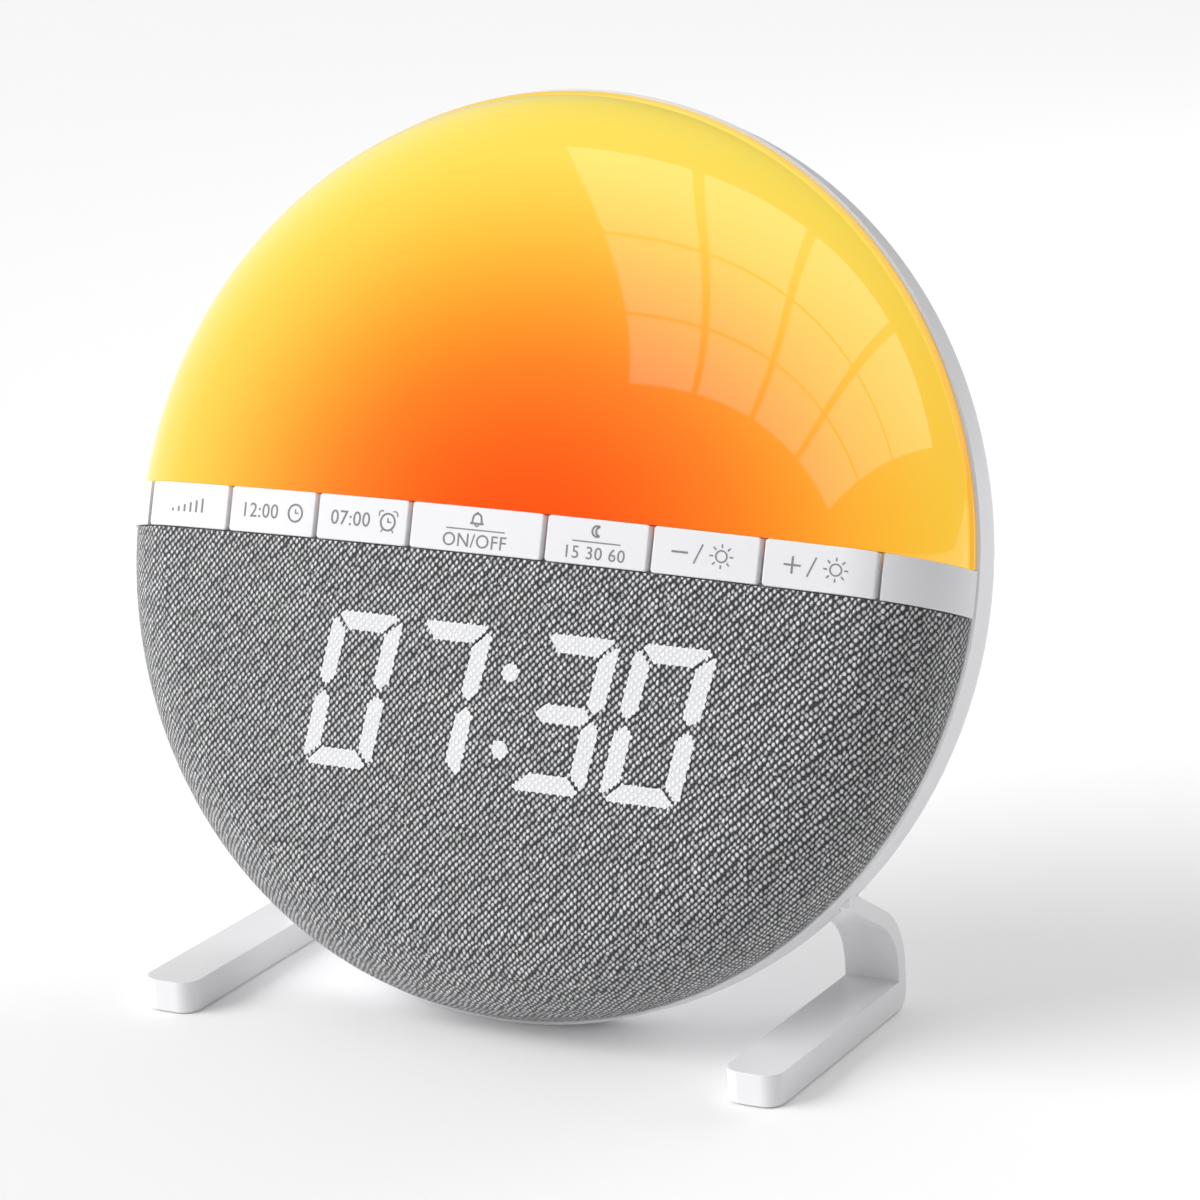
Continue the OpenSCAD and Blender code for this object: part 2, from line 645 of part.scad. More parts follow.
// ---- sunrise light ----
module light_outline(r, y0) intersection() {
    circle(r = r, $fn = fine);
    translate([-far / 2, y0]) square(far);
}
light_y0 = 11.5;
light_top = light_post_h + board_t;
led_places = [for (ring = led_rings) for (i = [0:ring[1] - 1])
    let (a = led_span[0] + (led_span[1] - led_span[0]) * i / (ring[1] - 1))
    [ring[0] * cos(a), ring[0] * sin(a)]];
led_spots = [for (p = led_places) if (p[1] > light_y0 + led_w) p];
module light_board() color("white") face_frame() difference() {
    translate([0, 0, light_post_h]) linear_extrude(board_t) light_outline(light_board_r, light_y0);
    posts(light_posts, board_screw_r, 0, light_top + 1);
}
module sunrise_leds() color("khaki") face_frame() for (p = led_spots)
    translate([p[0], p[1], light_top]) {
        translate([-led_w / 2, -led_w / 2, 0]) cube([led_w, led_w, 1.3]);
        cylinder(r = 2, h = 1.5, $fn = small);
    }
module reflector_tray() color("white") face_frame() translate([0, 0, light_top]) difference() {
    union() {
        linear_extrude(0.8) light_outline(light_board_r, light_y0);
        linear_extrude(7) difference() {
            light_outline(light_board_r, light_y0);
            light_outline(light_board_r - 1, light_y0 + 1);
        }
    }
    for (p = led_spots) translate([p[0] - led_w / 2 - 0.3, p[1] - led_w / 2 - 0.3, -1])
        cube([led_w + 0.6, led_w + 0.6, 4]);
    posts(light_posts, 2.2, -1, 4);
}

// ---- display ----
// A segment is a bar with pointed ends from a to b, and digits lean by digit_slant
function slanted(p) = [p[0] + p[1] * tan(digit_slant), p[1]];
module segment(a, b) {
    d = (b - a) / norm(b - a);
    n = [-d[1], d[0]] * segment_w / 2;
    e = d * segment_w / 2;
    g = d * segment_gap / 2;
    polygon([for (p = [a + g, a + g + e + n, b - g - e + n, b - g, b - g - e - n, a + g + e - n])
        slanted(p)]);
}
module digit() {
    x = (digit_w - segment_w) / 2;
    y = (digit_h - segment_w) / 2;
    for (q = [[[-x, y], [x, y]], [[-x, 0], [x, 0]], [[-x, -y], [x, -y]],
              [[-x, 0], [-x, y]], [[x, 0], [x, y]], [[-x, -y], [-x, 0]], [[x, -y], [x, 0]]])
        segment(q[0], q[1]);
}
digit_places = [-colon_pitch / 2 - digit_pitch, -colon_pitch / 2, colon_pitch / 2,
                colon_pitch / 2 + digit_pitch];
module display_layout() translate([display_x, display_y]) {
    for (x = digit_places) translate([x, 0]) digit();
    for (s = [-1, 1]) translate(slanted([0, s * colon_rise])) circle(r = colon_r, $fn = small);
}
display_top = display_post_h + board_t;
module display_board() color("darkgreen") face_frame() difference() {
    translate([display_x - display_board_w / 2, display_y - display_board_h / 2, display_post_h])
        cube([display_board_w, display_board_h, board_t]);
    posts(display_posts, board_screw_r, 0, display_top + 1);
}
module display_case() color("black") face_frame() difference() {
    intersection() {
        dome_solid(-cloth_t - fit_gap);
        translate([display_x, display_y, display_top]) linear_extrude(far)
            rounded_rect(display_case_w - 2, display_case_h, 0.8);
    }
    translate([0, 0, display_top - 1]) linear_extrude(far) display_layout();
}
module display_segments() color("white") face_frame() intersection() {
    dome_solid(-cloth_t - fit_gap);
    translate([0, 0, display_top + 1.2]) linear_extrude(far) display_layout();
}

// ---- electronics behind the mid frame ----
pin_pitch = 2.54;
board_right = main_board_w / 2;
board_foot = main_board_y - main_board_h / 2;
light_socket = [13 - board_right, board_foot + 47];
speaker_socket = [inlet_nose_r + 5.1, board_foot + 5];
button_header = [for (i = [-2:2]) [(edges[4] + edges[5]) / 2 + i * pin_pitch, 0.5]];
display_header_at = [display_x + display_board_w / 2 - 17, display_y - display_board_h / 2 + 7];
display_header = [for (i = [-1.5:1.5]) display_header_at + [i * pin_pitch, 0]];
header_slots = [[(edges[4] + edges[5]) / 2, 0.5, 5 * pin_pitch, 3],
                [display_header_at[0], display_header_at[1], 4 * pin_pitch, 3],
                [light_socket[0], 36, 9, 5]];
module main_board() color("darkgreen") face_frame() difference() {
    translate([-main_board_w / 2, main_board_y - main_board_h / 2, main_back_z])
        cube([main_board_w, main_board_h, board_t]);
    posts(main_posts, board_screw_r, main_back_z - 1, 0);
}
module block_at(x, y, w, h, t) translate([x - w / 2, y - h / 2, main_back_z - t]) cube([w, h, t]);
module board_parts() color("dimgray") face_frame() {
    block_at(board_right - 18, board_foot + 27, 10, 10, 1.4);
    block_at(board_right - 18, board_foot + 45, 6, 8, 1.2);
    block_at(18 - board_right, board_foot + 25, 5, 6, 1.1);
    block_at(light_socket[0], light_socket[1], 9, 5, 5);
    block_at(speaker_socket[0], speaker_socket[1], 9, 5, 5);
    for (p = [[26, 9], [18, 9], [10, 13]]) translate([p[0] - board_right, board_foot + p[1], main_back_z - 6])
        cylinder(r = 2.5, h = 6, $fn = small);
    for (i = [0:4]) block_at(board_right - 30 + i * 3.4, board_foot + 15, 1.2, 2, 0.6);
}
module pins(at, z1) for (p = at) translate([p[0] - 0.32, p[1] - 0.32, -mid_t - main_post_h])
    cube([0.64, 0.64, z1 + mid_t + main_post_h]);
module board_headers() color("goldenrod") face_frame() {
    pins(button_header, switch_board_z - board_t - 0.6);
    pins(display_header, display_post_h);
}
module power_inlet() color("black") face_frame() translate([0, inlet_y, 0]) {
    difference() {
        union() {
            translate([-4.7, -4.7, inlet_face_z + 2.6])
                cube([9.4, 9.4, main_back_z - inlet_face_z - 2.6]);
            translate([0, 0, inlet_face_z]) cylinder(r = inlet_nose_r, h = 3, $fn = small * 2);
        }
        translate([0, 0, inlet_face_z - 1]) cylinder(r = inlet_bore_r, h = inlet_depth + 1, $fn = small * 2);
    }
    translate([0, 0, inlet_face_z + 0.7]) cylinder(r = inlet_pin_r, h = inlet_depth, $fn = small);
}
module cell_holder() color("black") face_frame() translate([0, door_y, main_back_z]) mirror([0, 0, 1])
    difference() {
        cylinder(r = cell_r + 1.6, h = cell_t + 1, $fn = small * 2);
        translate([0, 0, 1]) cylinder(r = cell_r + fit_gap, h = cell_t + 1, $fn = small * 2);
        translate([-far / 2, -4, cell_t - 0.6]) cube([far, 8, 4]);
    }
module coin_cell() color("silver") face_frame() translate([0, door_y, main_back_z - 1]) mirror([0, 0, 1]) {
    cylinder(r = cell_r, h = cell_t - 0.5, $fn = small * 2);
    cylinder(r = cell_r - 1, h = cell_t, $fn = small * 2);
}
module battery_door() color("white") face_frame() translate([0, door_y, door_face_z]) difference() {
    union() {
        cylinder(r = door_r, h = door_flange_t, $fn = small * 2);
        cylinder(r = door_r - 1.9, h = 3.6, $fn = small * 2);
        intersection() {
            translate([0, 0, door_flange_t + ledge_t + 0.4]) cylinder(r = door_r - 0.1, h = 1.2, $fn = small * 2);
            translate([-far / 2, -3.8, 0]) cube([far, 7.6, 8]);
        }
    }
    translate([-8, -1.1, -1]) cube([16, 2.2, 2.2]);
    translate([0, 0, 2.4]) cylinder(r = door_r - 3.4, h = 4, $fn = small * 2);
}

// ---- speaker ----
module speaker_frame() face_frame() translate([0, speaker_y, 0]) children();
module speaker_basket() color("dimgray") speaker_frame() {
    rotate_extrude($fn = fine) polygon([[speaker_r - 2.6, 0], [speaker_r, 0], [speaker_r, 1.2],
        [speaker_r - 2.6, 1.2]]);
    rotate_extrude($fn = fine) polygon([[speaker_r - 2.6, 0], [speaker_r - 1.8, 0],
        [magnet_r - 0.4, -basket_depth], [0, -basket_depth], [0, 0.8 - basket_depth],
        [magnet_r - 1, 0.8 - basket_depth]]);
    translate([-8, speaker_r - 5.4, -4]) cube([16, 1.2, 3.4]);
}
module speaker_cone() color("black") speaker_frame() rotate_extrude($fn = fine) {
    polygon([[speaker_r - 5.4, 1.2], [speaker_r - 2.6, 1.2], [speaker_r - 2.6, 1.6], [speaker_r - 5, 2.6],
        [speaker_r - 6.4, 1.6], [5.4, -3.2], [0, -2.2], [0, -2.7], [5.4, -3.9]]);
}
module speaker_magnet() color("silver") speaker_frame() {
    translate([0, 0, -basket_depth - magnet_t]) cylinder(r = magnet_r, h = magnet_t, $fn = small * 2);
    translate([0, 0, -basket_depth - magnet_t - 0.8]) cylinder(r = magnet_r - 0.8, h = 0.8, $fn = small * 2);
}
module speaker_gasket() color("black") speaker_frame() difference() {
    translate([0, 0, 1.2]) cylinder(r = speaker_r, h = 3, $fn = fine);
    translate([0, 0, 0]) cylinder(r = speaker_r - 2.4, h = 6, $fn = fine);
}

// ---- fasteners ----
module screw(core_r, head_r, head_h, length) {
    mirror([0, 0, 1]) difference() {
        cylinder(r = head_r, h = head_h, $fn = small);
        for (a = [0, 90]) rotate([0, 0, a]) translate([-head_r * 0.6, -0.35, head_h - 0.9])
            cube([head_r * 1.2, 0.7, 2]);
    }
    cylinder(r = core_r, h = length, $fn = small);
}
module housing_screws() color("silver") face_frame() for (p = housing_screws_at)
    translate([p[0], p[1], head_seat_z]) screw(housing_screw_r, screw_head_r, screw_head_h, 15);
module leg_screws() color("silver") face_frame() for (s = [-1, 1])
    translate([s * leg_screw_at[0], leg_screw_at[1], block_z[1] - screw_head_h - 0.6])
        mirror([0, 0, 1]) screw(housing_screw_r, screw_head_r, screw_head_h, 8);
module board_screws() color("silver") face_frame() {
    for (p = light_posts) translate([p[0], p[1], light_top]) mirror([0, 0, 1])
        screw(board_screw_r, 1.8, 1.3, 4);
    for (p = display_posts) translate([p[0], p[1], display_top]) mirror([0, 0, 1])
        screw(board_screw_r, 1.6, 1.3, 5);
    for (p = main_posts) translate([p[0], p[1], main_back_z]) screw(board_screw_r, 1.8, 1.3, 5);
    strip_frame() for (x = button_posts) translate([x, 0, switch_board_z]) mirror([0, 0, 1])
        screw(board_screw_r, 1.8, 1.3, 4);
}

// ---- wiring: round wires that stay in one plane ----
module wire(x, r, path) {
    sides = 8;
    last = len(path) - 1;
    function run(i) = let (d = path[min(i + 1, last)] - path[max(i - 1, 0)]) d / norm(d);
    rings = [for (i = [0:last]) let (d = run(i)) for (j = [0:sides - 1])
        [x + r * cos(360 * j / sides), path[i][0] - r * d[1] * sin(360 * j / sides),
         path[i][1] + r * d[0] * sin(360 * j / sides)]];
    walls = [for (i = [0:last - 1]) for (j = [0:sides - 1]) let (a = i * sides + j,
        b = i * sides + (j + 1) % sides) [a, a + sides, b + sides, b]];
    polyhedron(rings, concat([[for (j = [0:sides - 1]) j]], walls,
        [[for (j = [sides - 1:-1:0]) last * sides + j]]));
}
light_path = [[light_socket[1] + 2.5, -10.2], [20, -10.4], [24, -10.6], [28, -10.2], [31.5, -8.8],
              [34, -6.6], [35.4, -4], [36, -1], [36, 1], [36, light_post_h]];
speaker_path = [[speaker_socket[1] - 2.5, -10.2], [-34, -10.4], [-37, -10], [-40, -8.6], [-43, -6.6],
                [-45.6, -4.6], [-47.4, -2.9],
                [speaker_y + speaker_r - 4.2, -2.9]];
module light_lead() color("red") face_frame() for (s = [-1, 1])
    wire(light_socket[0] + s, 0.6, light_path);
module speaker_lead() color("black") face_frame() for (x = [-3.7, -2.3])
    wire(speaker_socket[0] + x, 0.6, speaker_path);

rear_housing();
mid_frame();
diffuser_dome();
front_baffle();
cloth_cover();
button_frame();
button(0);  // dimmer_button
button(1);  // time_button
button(2);  // alarm_set_button
button(3);  // alarm_switch_button
button(4);  // sleep_button
button(5);  // brightness_down_button
button(6);  // brightness_up_button
plunger(0);  // dimmer_plunger
plunger(1);  // time_plunger
plunger(2);  // alarm_set_plunger
plunger(3);  // alarm_switch_plunger
plunger(4);  // sleep_plunger
plunger(5);  // brightness_down_plunger
plunger(6);  // brightness_up_plunger
switch_bodies();
button_board();
light_board();
sunrise_leds();
reflector_tray();
display_board();
display_case();
display_segments();
main_board();
board_parts();
board_headers();
power_inlet();
cell_holder();
coin_cell();
battery_door();
speaker_basket();
speaker_cone();
speaker_magnet();
speaker_gasket();
left_leg();
right_leg();
foot_pads();
housing_screws();
leg_screws();
board_screws();
light_lead();
speaker_lead();
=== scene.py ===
# %% [markdown]
# # A sunrise alarm clock
# A shallow dome leans back on two bent legs. Its upper half is a glowing light diffuser, its
# lower half is cloth with the time shining through, and a strip of seven push buttons runs
# between them. The engineering model gives every piece its size and place, and this lesson
# gives each one its looks.

# %% Load the engineering model
import json
import math

import bmesh
import bpy
from mathutils import Matrix, Vector


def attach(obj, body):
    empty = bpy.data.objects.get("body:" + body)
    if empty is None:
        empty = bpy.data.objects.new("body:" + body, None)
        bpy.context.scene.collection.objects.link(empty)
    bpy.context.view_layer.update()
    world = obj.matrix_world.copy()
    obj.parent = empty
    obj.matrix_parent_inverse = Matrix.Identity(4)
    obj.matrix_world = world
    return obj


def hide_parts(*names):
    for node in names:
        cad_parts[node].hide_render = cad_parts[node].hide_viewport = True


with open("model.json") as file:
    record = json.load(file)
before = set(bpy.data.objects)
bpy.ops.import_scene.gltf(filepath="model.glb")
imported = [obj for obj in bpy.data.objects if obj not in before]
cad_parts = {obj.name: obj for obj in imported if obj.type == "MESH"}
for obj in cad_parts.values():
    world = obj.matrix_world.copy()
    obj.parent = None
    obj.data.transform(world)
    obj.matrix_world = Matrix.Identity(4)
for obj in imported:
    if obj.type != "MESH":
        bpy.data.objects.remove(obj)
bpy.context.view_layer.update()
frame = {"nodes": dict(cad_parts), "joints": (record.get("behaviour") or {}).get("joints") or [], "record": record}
MM = 0.001


def placed(name, data):
    """A new object in the scene that shows the data."""
    made = bpy.data.objects.new(name, data)
    bpy.context.scene.collection.objects.link(made)
    return made


# %% [markdown]
# ## Where the face is
# Everything on the front is easiest to draw flat: x across the face, y up it and z out of it.
# One matrix then leans the drawing back. The battery door turns about the face's own normal, so
# its joint gives that matrix.

# %% The face's own frame
DOOR_JOINT = next(j for j in frame["joints"] if j["name"] == "battery_door_twist")
DOOR_ON_FACE = Vector((0, 10, -23)) * MM      # its joint in the flat drawing
OUT = -Vector(DOOR_JOINT["axis"]).normalized()
ACROSS = Vector((1, 0, 0))
UP = OUT.cross(ACROSS)
FACE_TURN = Matrix((ACROSS, UP, OUT)).transposed()
MIDDLE = Vector(DOOR_JOINT["pos_m"]) - FACE_TURN @ DOOR_ON_FACE
FACE = Matrix.Translation(MIDDLE) @ FACE_TURN.to_4x4()
print("middle of the face:", tuple(round(c, 5) for c in MIDDLE))

# %% [markdown]
# ## Camera
# A product camera is a long lens from far away, so that upright lines stay upright. It is made
# first, because the mirrored window is placed by looking through it.

# %% Camera
IMAGE = 1200.0
LENS_PX = 4500.45
AZIMUTH, ELEVATION, ROLL = (math.radians(a) for a in (28.309, 15.693, -2.183))
AIM = Vector((8.899, 72.115, 840.825)) * MM


def camera_turn():
    back = Vector((math.sin(AZIMUTH) * math.cos(ELEVATION),
                   -math.cos(AZIMUTH) * math.cos(ELEVATION), math.sin(ELEVATION)))
    right = Vector((0, 0, 1)).cross(back).normalized()
    up = back.cross(right)
    rolled = math.cos(ROLL) * right + math.sin(ROLL) * up
    return Matrix((rolled, back.cross(rolled), back)).transposed()


CAMERA_TURN = camera_turn()
EYE = CAMERA_TURN @ AIM
lens = bpy.data.cameras.new("product_camera")
lens.sensor_width = 36
lens.lens = LENS_PX / IMAGE * lens.sensor_width
camera = placed("product_camera", lens)
camera.matrix_world = Matrix.Translation(EYE) @ CAMERA_TURN.to_4x4()
bpy.context.scene.camera = camera
print("camera at", tuple(round(c, 3) for c in EYE), "lens", round(lens.lens, 1))

# %% [markdown]
# ## The dome's shape
# The front is a shallow crown that rolls over into a tight shoulder: two arcs that meet
# smoothly. Every thin thing, such as a button or a printed mark, is drawn flat first and then
# laid on their curve.

# %% Dome height
DOME_R, DOME_H = 84.9 * MM, 26.6 * MM
CROWN_R, SHOULDER_R, LIFT = 335 * MM, 21 * MM, 0.03 * MM
SHOULDER_X = DOME_R - SHOULDER_R
CROWN_Z = DOME_H - CROWN_R
SHOULDER_Z = CROWN_Z + math.sqrt((CROWN_R - SHOULDER_R + LIFT) ** 2 - SHOULDER_X ** 2)
TURN_ANGLE = math.atan2(SHOULDER_X, SHOULDER_Z - CROWN_Z)


def dome_height(r, stand=0.0):
    """Height of the front at distance r from the middle, for a skin that stands proud."""
    if r < (CROWN_R + stand) * math.sin(TURN_ANGLE):
        return CROWN_Z + math.sqrt((CROWN_R + stand) ** 2 - r * r)
    return SHOULDER_Z + math.sqrt(max((SHOULDER_R + stand) ** 2 - (r - SHOULDER_X) ** 2, 0))


def dome_normal(x, y, stand=0.0):
    """Outward direction of the front at (x, y)."""
    r = math.hypot(x, y)
    if r < (CROWN_R + stand) * math.sin(TURN_ANGLE):
        lean = math.asin(r / (CROWN_R + stand))
    else:
        lean = math.asin(min((r - SHOULDER_X) / (SHOULDER_R + stand), 1))
    return Vector((math.sin(lean) * x / r, math.sin(lean) * y / r, math.cos(lean)))


def dome_arc(stand, foot=0.0, crown_steps=12, shoulder_steps=16):
    """The front's half section, from the middle to the height of its foot."""
    last = math.acos((foot - SHOULDER_Z) / (SHOULDER_R + stand))
    crown = [TURN_ANGLE * i / crown_steps for i in range(crown_steps)]
    shoulder = [TURN_ANGLE + (last - TURN_ANGLE) * i / shoulder_steps
                for i in range(shoulder_steps + 1)]
    return ([(math.sin(a) * (CROWN_R + stand), CROWN_Z + math.cos(a) * (CROWN_R + stand))
             for a in crown]
            + [(SHOULDER_X + math.sin(a) * (SHOULDER_R + stand),
                SHOULDER_Z + math.cos(a) * (SHOULDER_R + stand)) for a in shoulder])


print("dome height at its middle", round(dome_height(0) / MM, 2), "mm")

# %% [markdown]
# ## The button strip's frame
# The strip's long edges slope a little, as moulded parts do so that they leave their mould. It
# gets a frame of its own, turned by that slope.

# %% Strip frame
STRIP_SLOPE = math.radians(5.6)
STRIP_RISE = 0.7 * MM
STRIP = Matrix.Rotation(-STRIP_SLOPE, 4, "X") @ Matrix.Translation((0, STRIP_RISE, 0))
STRIP_HALF, STRIP_GAP, STRIP_PROUD = 4.15 * MM, 0.15 * MM, 0.4 * MM
CAP_HALF = STRIP_HALF - STRIP_GAP / 2
HEIGHT_TRIES = 8
BUTTON_PITCH, WIDE_PITCH, BUTTON_GAP = 20.25 * MM, 27.4 * MM, 0.85 * MM
BUTTONS = ["dimmer", "time", "alarm_set", "alarm_switch", "sleep",
           "brightness_down", "brightness_up"]
EDGES = [math.copysign(WIDE_PITCH / 2 + (abs(k) - 0.5) * BUTTON_PITCH, k)
         for k in (-3.5, -2.5, -1.5, -0.5, 0.5, 1.5, 2.5, 3.5)]


def strip_height(x, y, stand):
    """Height in the strip's frame at which (x, y) meets a skin that stands proud."""
    z = dome_height(math.hypot(x, y), stand)
    for _ in range(HEIGHT_TRIES):
        p = STRIP @ Vector((x, y, z))
        z -= p.z - dome_height(math.hypot(p.x, p.y), stand)
    return z


print("button edges", [round(x / MM, 2) for x in EDGES])

# %% [markdown]
# ## Mesh helpers
# Doubles are merged, normals are made to face outward, and sharp edges get a small bevel,
# because no moulded edge is a true knife edge and it is the bevel that catches the light.

# %% Finish a mesh
SMOOTH_BELOW = math.radians(35)
SPIN_STEPS = 192


def mesh_from(bm, name, *materials):
    mesh = bpy.data.meshes.new(name)
    bm.to_mesh(mesh)
    bm.free()
    for material in materials:
        mesh.materials.append(material)
    return mesh


def finish_mesh(bm, name, *materials, body="clock", weighted=True):
    """Turns a bmesh in world place into an object that rides on a body."""
    mesh = mesh_from(bm, name, *materials)
    mesh.shade_smooth()
    mesh.set_sharp_from_angle(angle=SMOOTH_BELOW)
    piece = placed(name, mesh)
    if weighted:
        piece.modifiers.new("even_normals", "WEIGHTED_NORMAL").keep_sharp = True
    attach(piece, body)
    print(name, len(mesh.polygons), "faces")
    return piece


def cut(bm, point, normal, dist=1e-7, keep_one_side=False):
    """Cuts a mesh by a plane. The side that the normal points to always stays."""
    bmesh.ops.bisect_plane(bm, geom=bm.verts[:] + bm.edges[:] + bm.faces[:], dist=dist,
                           plane_co=point, plane_no=normal, clear_inner=keep_one_side)


def half_of(bm, point, normal):
    """Keeps one side of a plane and closes the cut."""
    cut(bm, point, normal, dist=1e-8, keep_one_side=True)
    bmesh.ops.edgeloop_fill(bm, edges=[e for e in bm.edges if e.is_boundary])
    bmesh.ops.recalc_face_normals(bm, faces=bm.faces)


def bevel(bm, edges, width, segments):
    bmesh.ops.bevel(bm, geom=edges, offset=width, offset_type="OFFSET", segments=segments,
                    profile=0.5, affect="EDGES", clamp_overlap=True, material=-1)


def soften(bm, width, segments=2, angle=60):
    """Bevels the edges that turn by more than an angle."""
    bevel(bm, [e for e in bm.edges
               if e.is_manifold and e.calc_face_angle(0) > math.radians(angle)], width, segments)


def add_box(bm, place, size):
    made = bmesh.ops.create_cube(bm, size=1)["verts"]
    bmesh.ops.transform(bm, verts=made, matrix=place @ Matrix.Diagonal((*size, 1)))


def spun(section):
    """A closed section of (distance, height) points turned into a ring or dome."""
    bm = bmesh.new()
    verts = [bm.verts.new((r, 0, z)) for r, z in section]
    edges = [bm.edges.new(pair) for pair in zip(verts, verts[1:])]
    bmesh.ops.spin(bm, geom=verts + edges, cent=(0, 0, 0), axis=(0, 0, 1),
                   angle=math.tau, steps=SPIN_STEPS, use_merge=True)
    bmesh.ops.remove_doubles(bm, verts=bm.verts, dist=1e-7)
    bmesh.ops.recalc_face_normals(bm, faces=bm.faces)
    return bm


# %% [markdown]
# ## Shared surface effects
# Real plastic has a fine grain from its mould and a very soft mottling. Each effect is a node
# group that is built once and then placed in every material that needs it, with its own values.

# %% Node helpers
NUMBER, KINDS = "NodeSocketFloat", {"Place": "NodeSocketVector", "Glow": "NodeSocketColor"}


def feed(tree, socket, value):
    """Gives an input its value, or wires it to the output that makes the value."""
    if isinstance(value, bpy.types.NodeSocket):
        tree.links.new(value, socket)
    elif socket.type == "RGBA":
        socket.default_value = (*value, 1.0)
    elif value is not None:
        socket.default_value = value


def feed_named(tree, node, **values):
    """Feeds a node's inputs by their names, with underscores for spaces."""
    for name, value in values.items():
        feed(tree, node.inputs[name.replace("_", " ")], value)
    return node


def add(tree, kind, **values):
    """Adds a node. A key with in_ feeds an input, any other sets a property."""
    node = tree.nodes.new(kind)
    for key, value in values.items():
        if key.startswith("in_"):
            name = key[3:].replace("_", " ")
            feed(tree, node.inputs[int(name) if name.isdigit() else name], value)
        else:
            setattr(node, key, value)
    return node


def calculate(tree, kind, operation, values, out, **settings):
    node = add(tree, kind, operation=operation, **settings)
    for socket, value in zip(node.inputs, values):
        feed(tree, socket, value)
    return node.outputs[out]


def maths(tree, operation, *values, clamp=False):
    return calculate(tree, "ShaderNodeMath", operation, values, 0, use_clamp=clamp)


def vectors(tree, operation, *values, out=0):
    return calculate(tree, "ShaderNodeVectorMath", operation, values, out)


def noise(tree, place, scale, out="Fac", **values):
    return add(tree, "ShaderNodeTexNoise", in_Vector=place, in_Scale=scale, **values).outputs[out]


def smooth_range(tree, value, start, full, low=0.0, high=1.0):
    """Runs smoothly from low to high as a value goes from start to full."""
    return add(tree, "ShaderNodeMapRange", interpolation_type="SMOOTHSTEP", in_Value=value,
               in_1=start, in_2=full, in_3=low, in_4=high).outputs[0]


def from_middle(tree, colour, strength):
    """A noise colour as a push to any side."""
    push = vectors(tree, "SUBTRACT", colour, (0.5, 0.5, 0.5))
    return add(tree, "ShaderNodeVectorMath", operation="SCALE", in_0=push,
               in_Scale=strength).outputs[0]


def stretched(tree, value, start, gain):
    """The part of a 0 to 1 value that lies above a start, made steeper."""
    return maths(tree, "MULTIPLY", maths(tree, "SUBTRACT", value, start), gain, clamp=True)


def object_place(tree):
    return add(tree, "ShaderNodeTexCoord").outputs["Object"]


def new_group(name, inputs, outputs):
    """An empty shader group. Returns it, its inputs by name and its output node."""
    group = bpy.data.node_groups.new(name, "ShaderNodeTree")
    for labels, side in ((inputs, "INPUT"), (outputs, "OUTPUT")):
        for label in labels:
            group.interface.new_socket(label, in_out=side, socket_type=KINDS.get(label, NUMBER))
    return group, group.nodes.new("NodeGroupInput").outputs, group.nodes.new("NodeGroupOutput")


def place_group(tree, group, **values):
    node = tree.nodes.new("ShaderNodeGroup")
    node.node_tree = group
    return feed_named(tree, node, **values)


# %% Moulded grain group
def build_grain():
    """Fine mould texture: a height, a slow mottled tone, and where it is polished."""
    g, given, result = new_group("moulded_grain", ["Place", "Grain Scale"],
                                 ["Height", "Tone", "Polish"])
    place = given["Place"]
    fine = noise(g, place, given["Grain Scale"], in_Detail=3.0, in_Roughness=0.55)
    slow = noise(g, place, 22.0, in_Detail=2.0)
    rub = noise(g, place, 95.0, in_Detail=4.0, in_Roughness=0.65)
    feed_named(g, result, Height=fine, Tone=stretched(g, slow, 0.3, 1.6),
               Polish=stretched(g, rub, 0.45, 2.2))
    return g


GRAIN = build_grain()

# %% Settled dust group
def build_dust():
    """A thin film on faces that look up, broken by noise."""
    g, given, result = new_group("settled_dust", ["Place", "Amount"], ["Film"])
    shape = add(g, "ShaderNodeNewGeometry")
    split = add(g, "ShaderNodeSeparateXYZ", in_0=shape.outputs["Normal"])
    upward = maths(g, "POWER", maths(g, "MAXIMUM", split.outputs["Z"], 0.0), 3.0)
    specks = noise(g, given["Place"], 420.0, in_Detail=5.0, in_Roughness=0.7)
    broken = stretched(g, specks, 0.5, 3.0)
    feed_named(g, result, Film=maths(g, "MULTIPLY", maths(g, "MULTIPLY", upward, broken),
                                     given["Amount"]))
    return g


DUST = build_dust()
print("groups:", [g.name for g in bpy.data.node_groups])

# %% Material helpers
def blank_material(name, **sockets):
    """A Principled material, whose even values are set on its own sockets."""
    material = bpy.data.materials.new(name)
    material.use_nodes = True
    tree = material.node_tree
    return material, tree, feed_named(tree, tree.nodes["Principled BSDF"], **sockets)


def mix_colours(tree, factor, a, b):
    return add(tree, "ShaderNodeMix", data_type="RGBA", clamp_factor=True, in_0=factor, in_6=a,
               in_7=b).outputs[2]


def relief(tree, height, depth):
    """The normal that a height gives, for a depth in metres."""
    return add(tree, "ShaderNodeBump", in_Strength=1.0, in_Distance=depth,
               in_Height=height).outputs["Normal"]


def srgb(*values):
    """Screen values from 0 to 255, as the linear numbers that shaders use."""
    return tuple((v / 255 / 12.92) if v / 255 <= 0.04045 else ((v / 255 + 0.055) / 1.055) ** 2.4
                 for v in values)


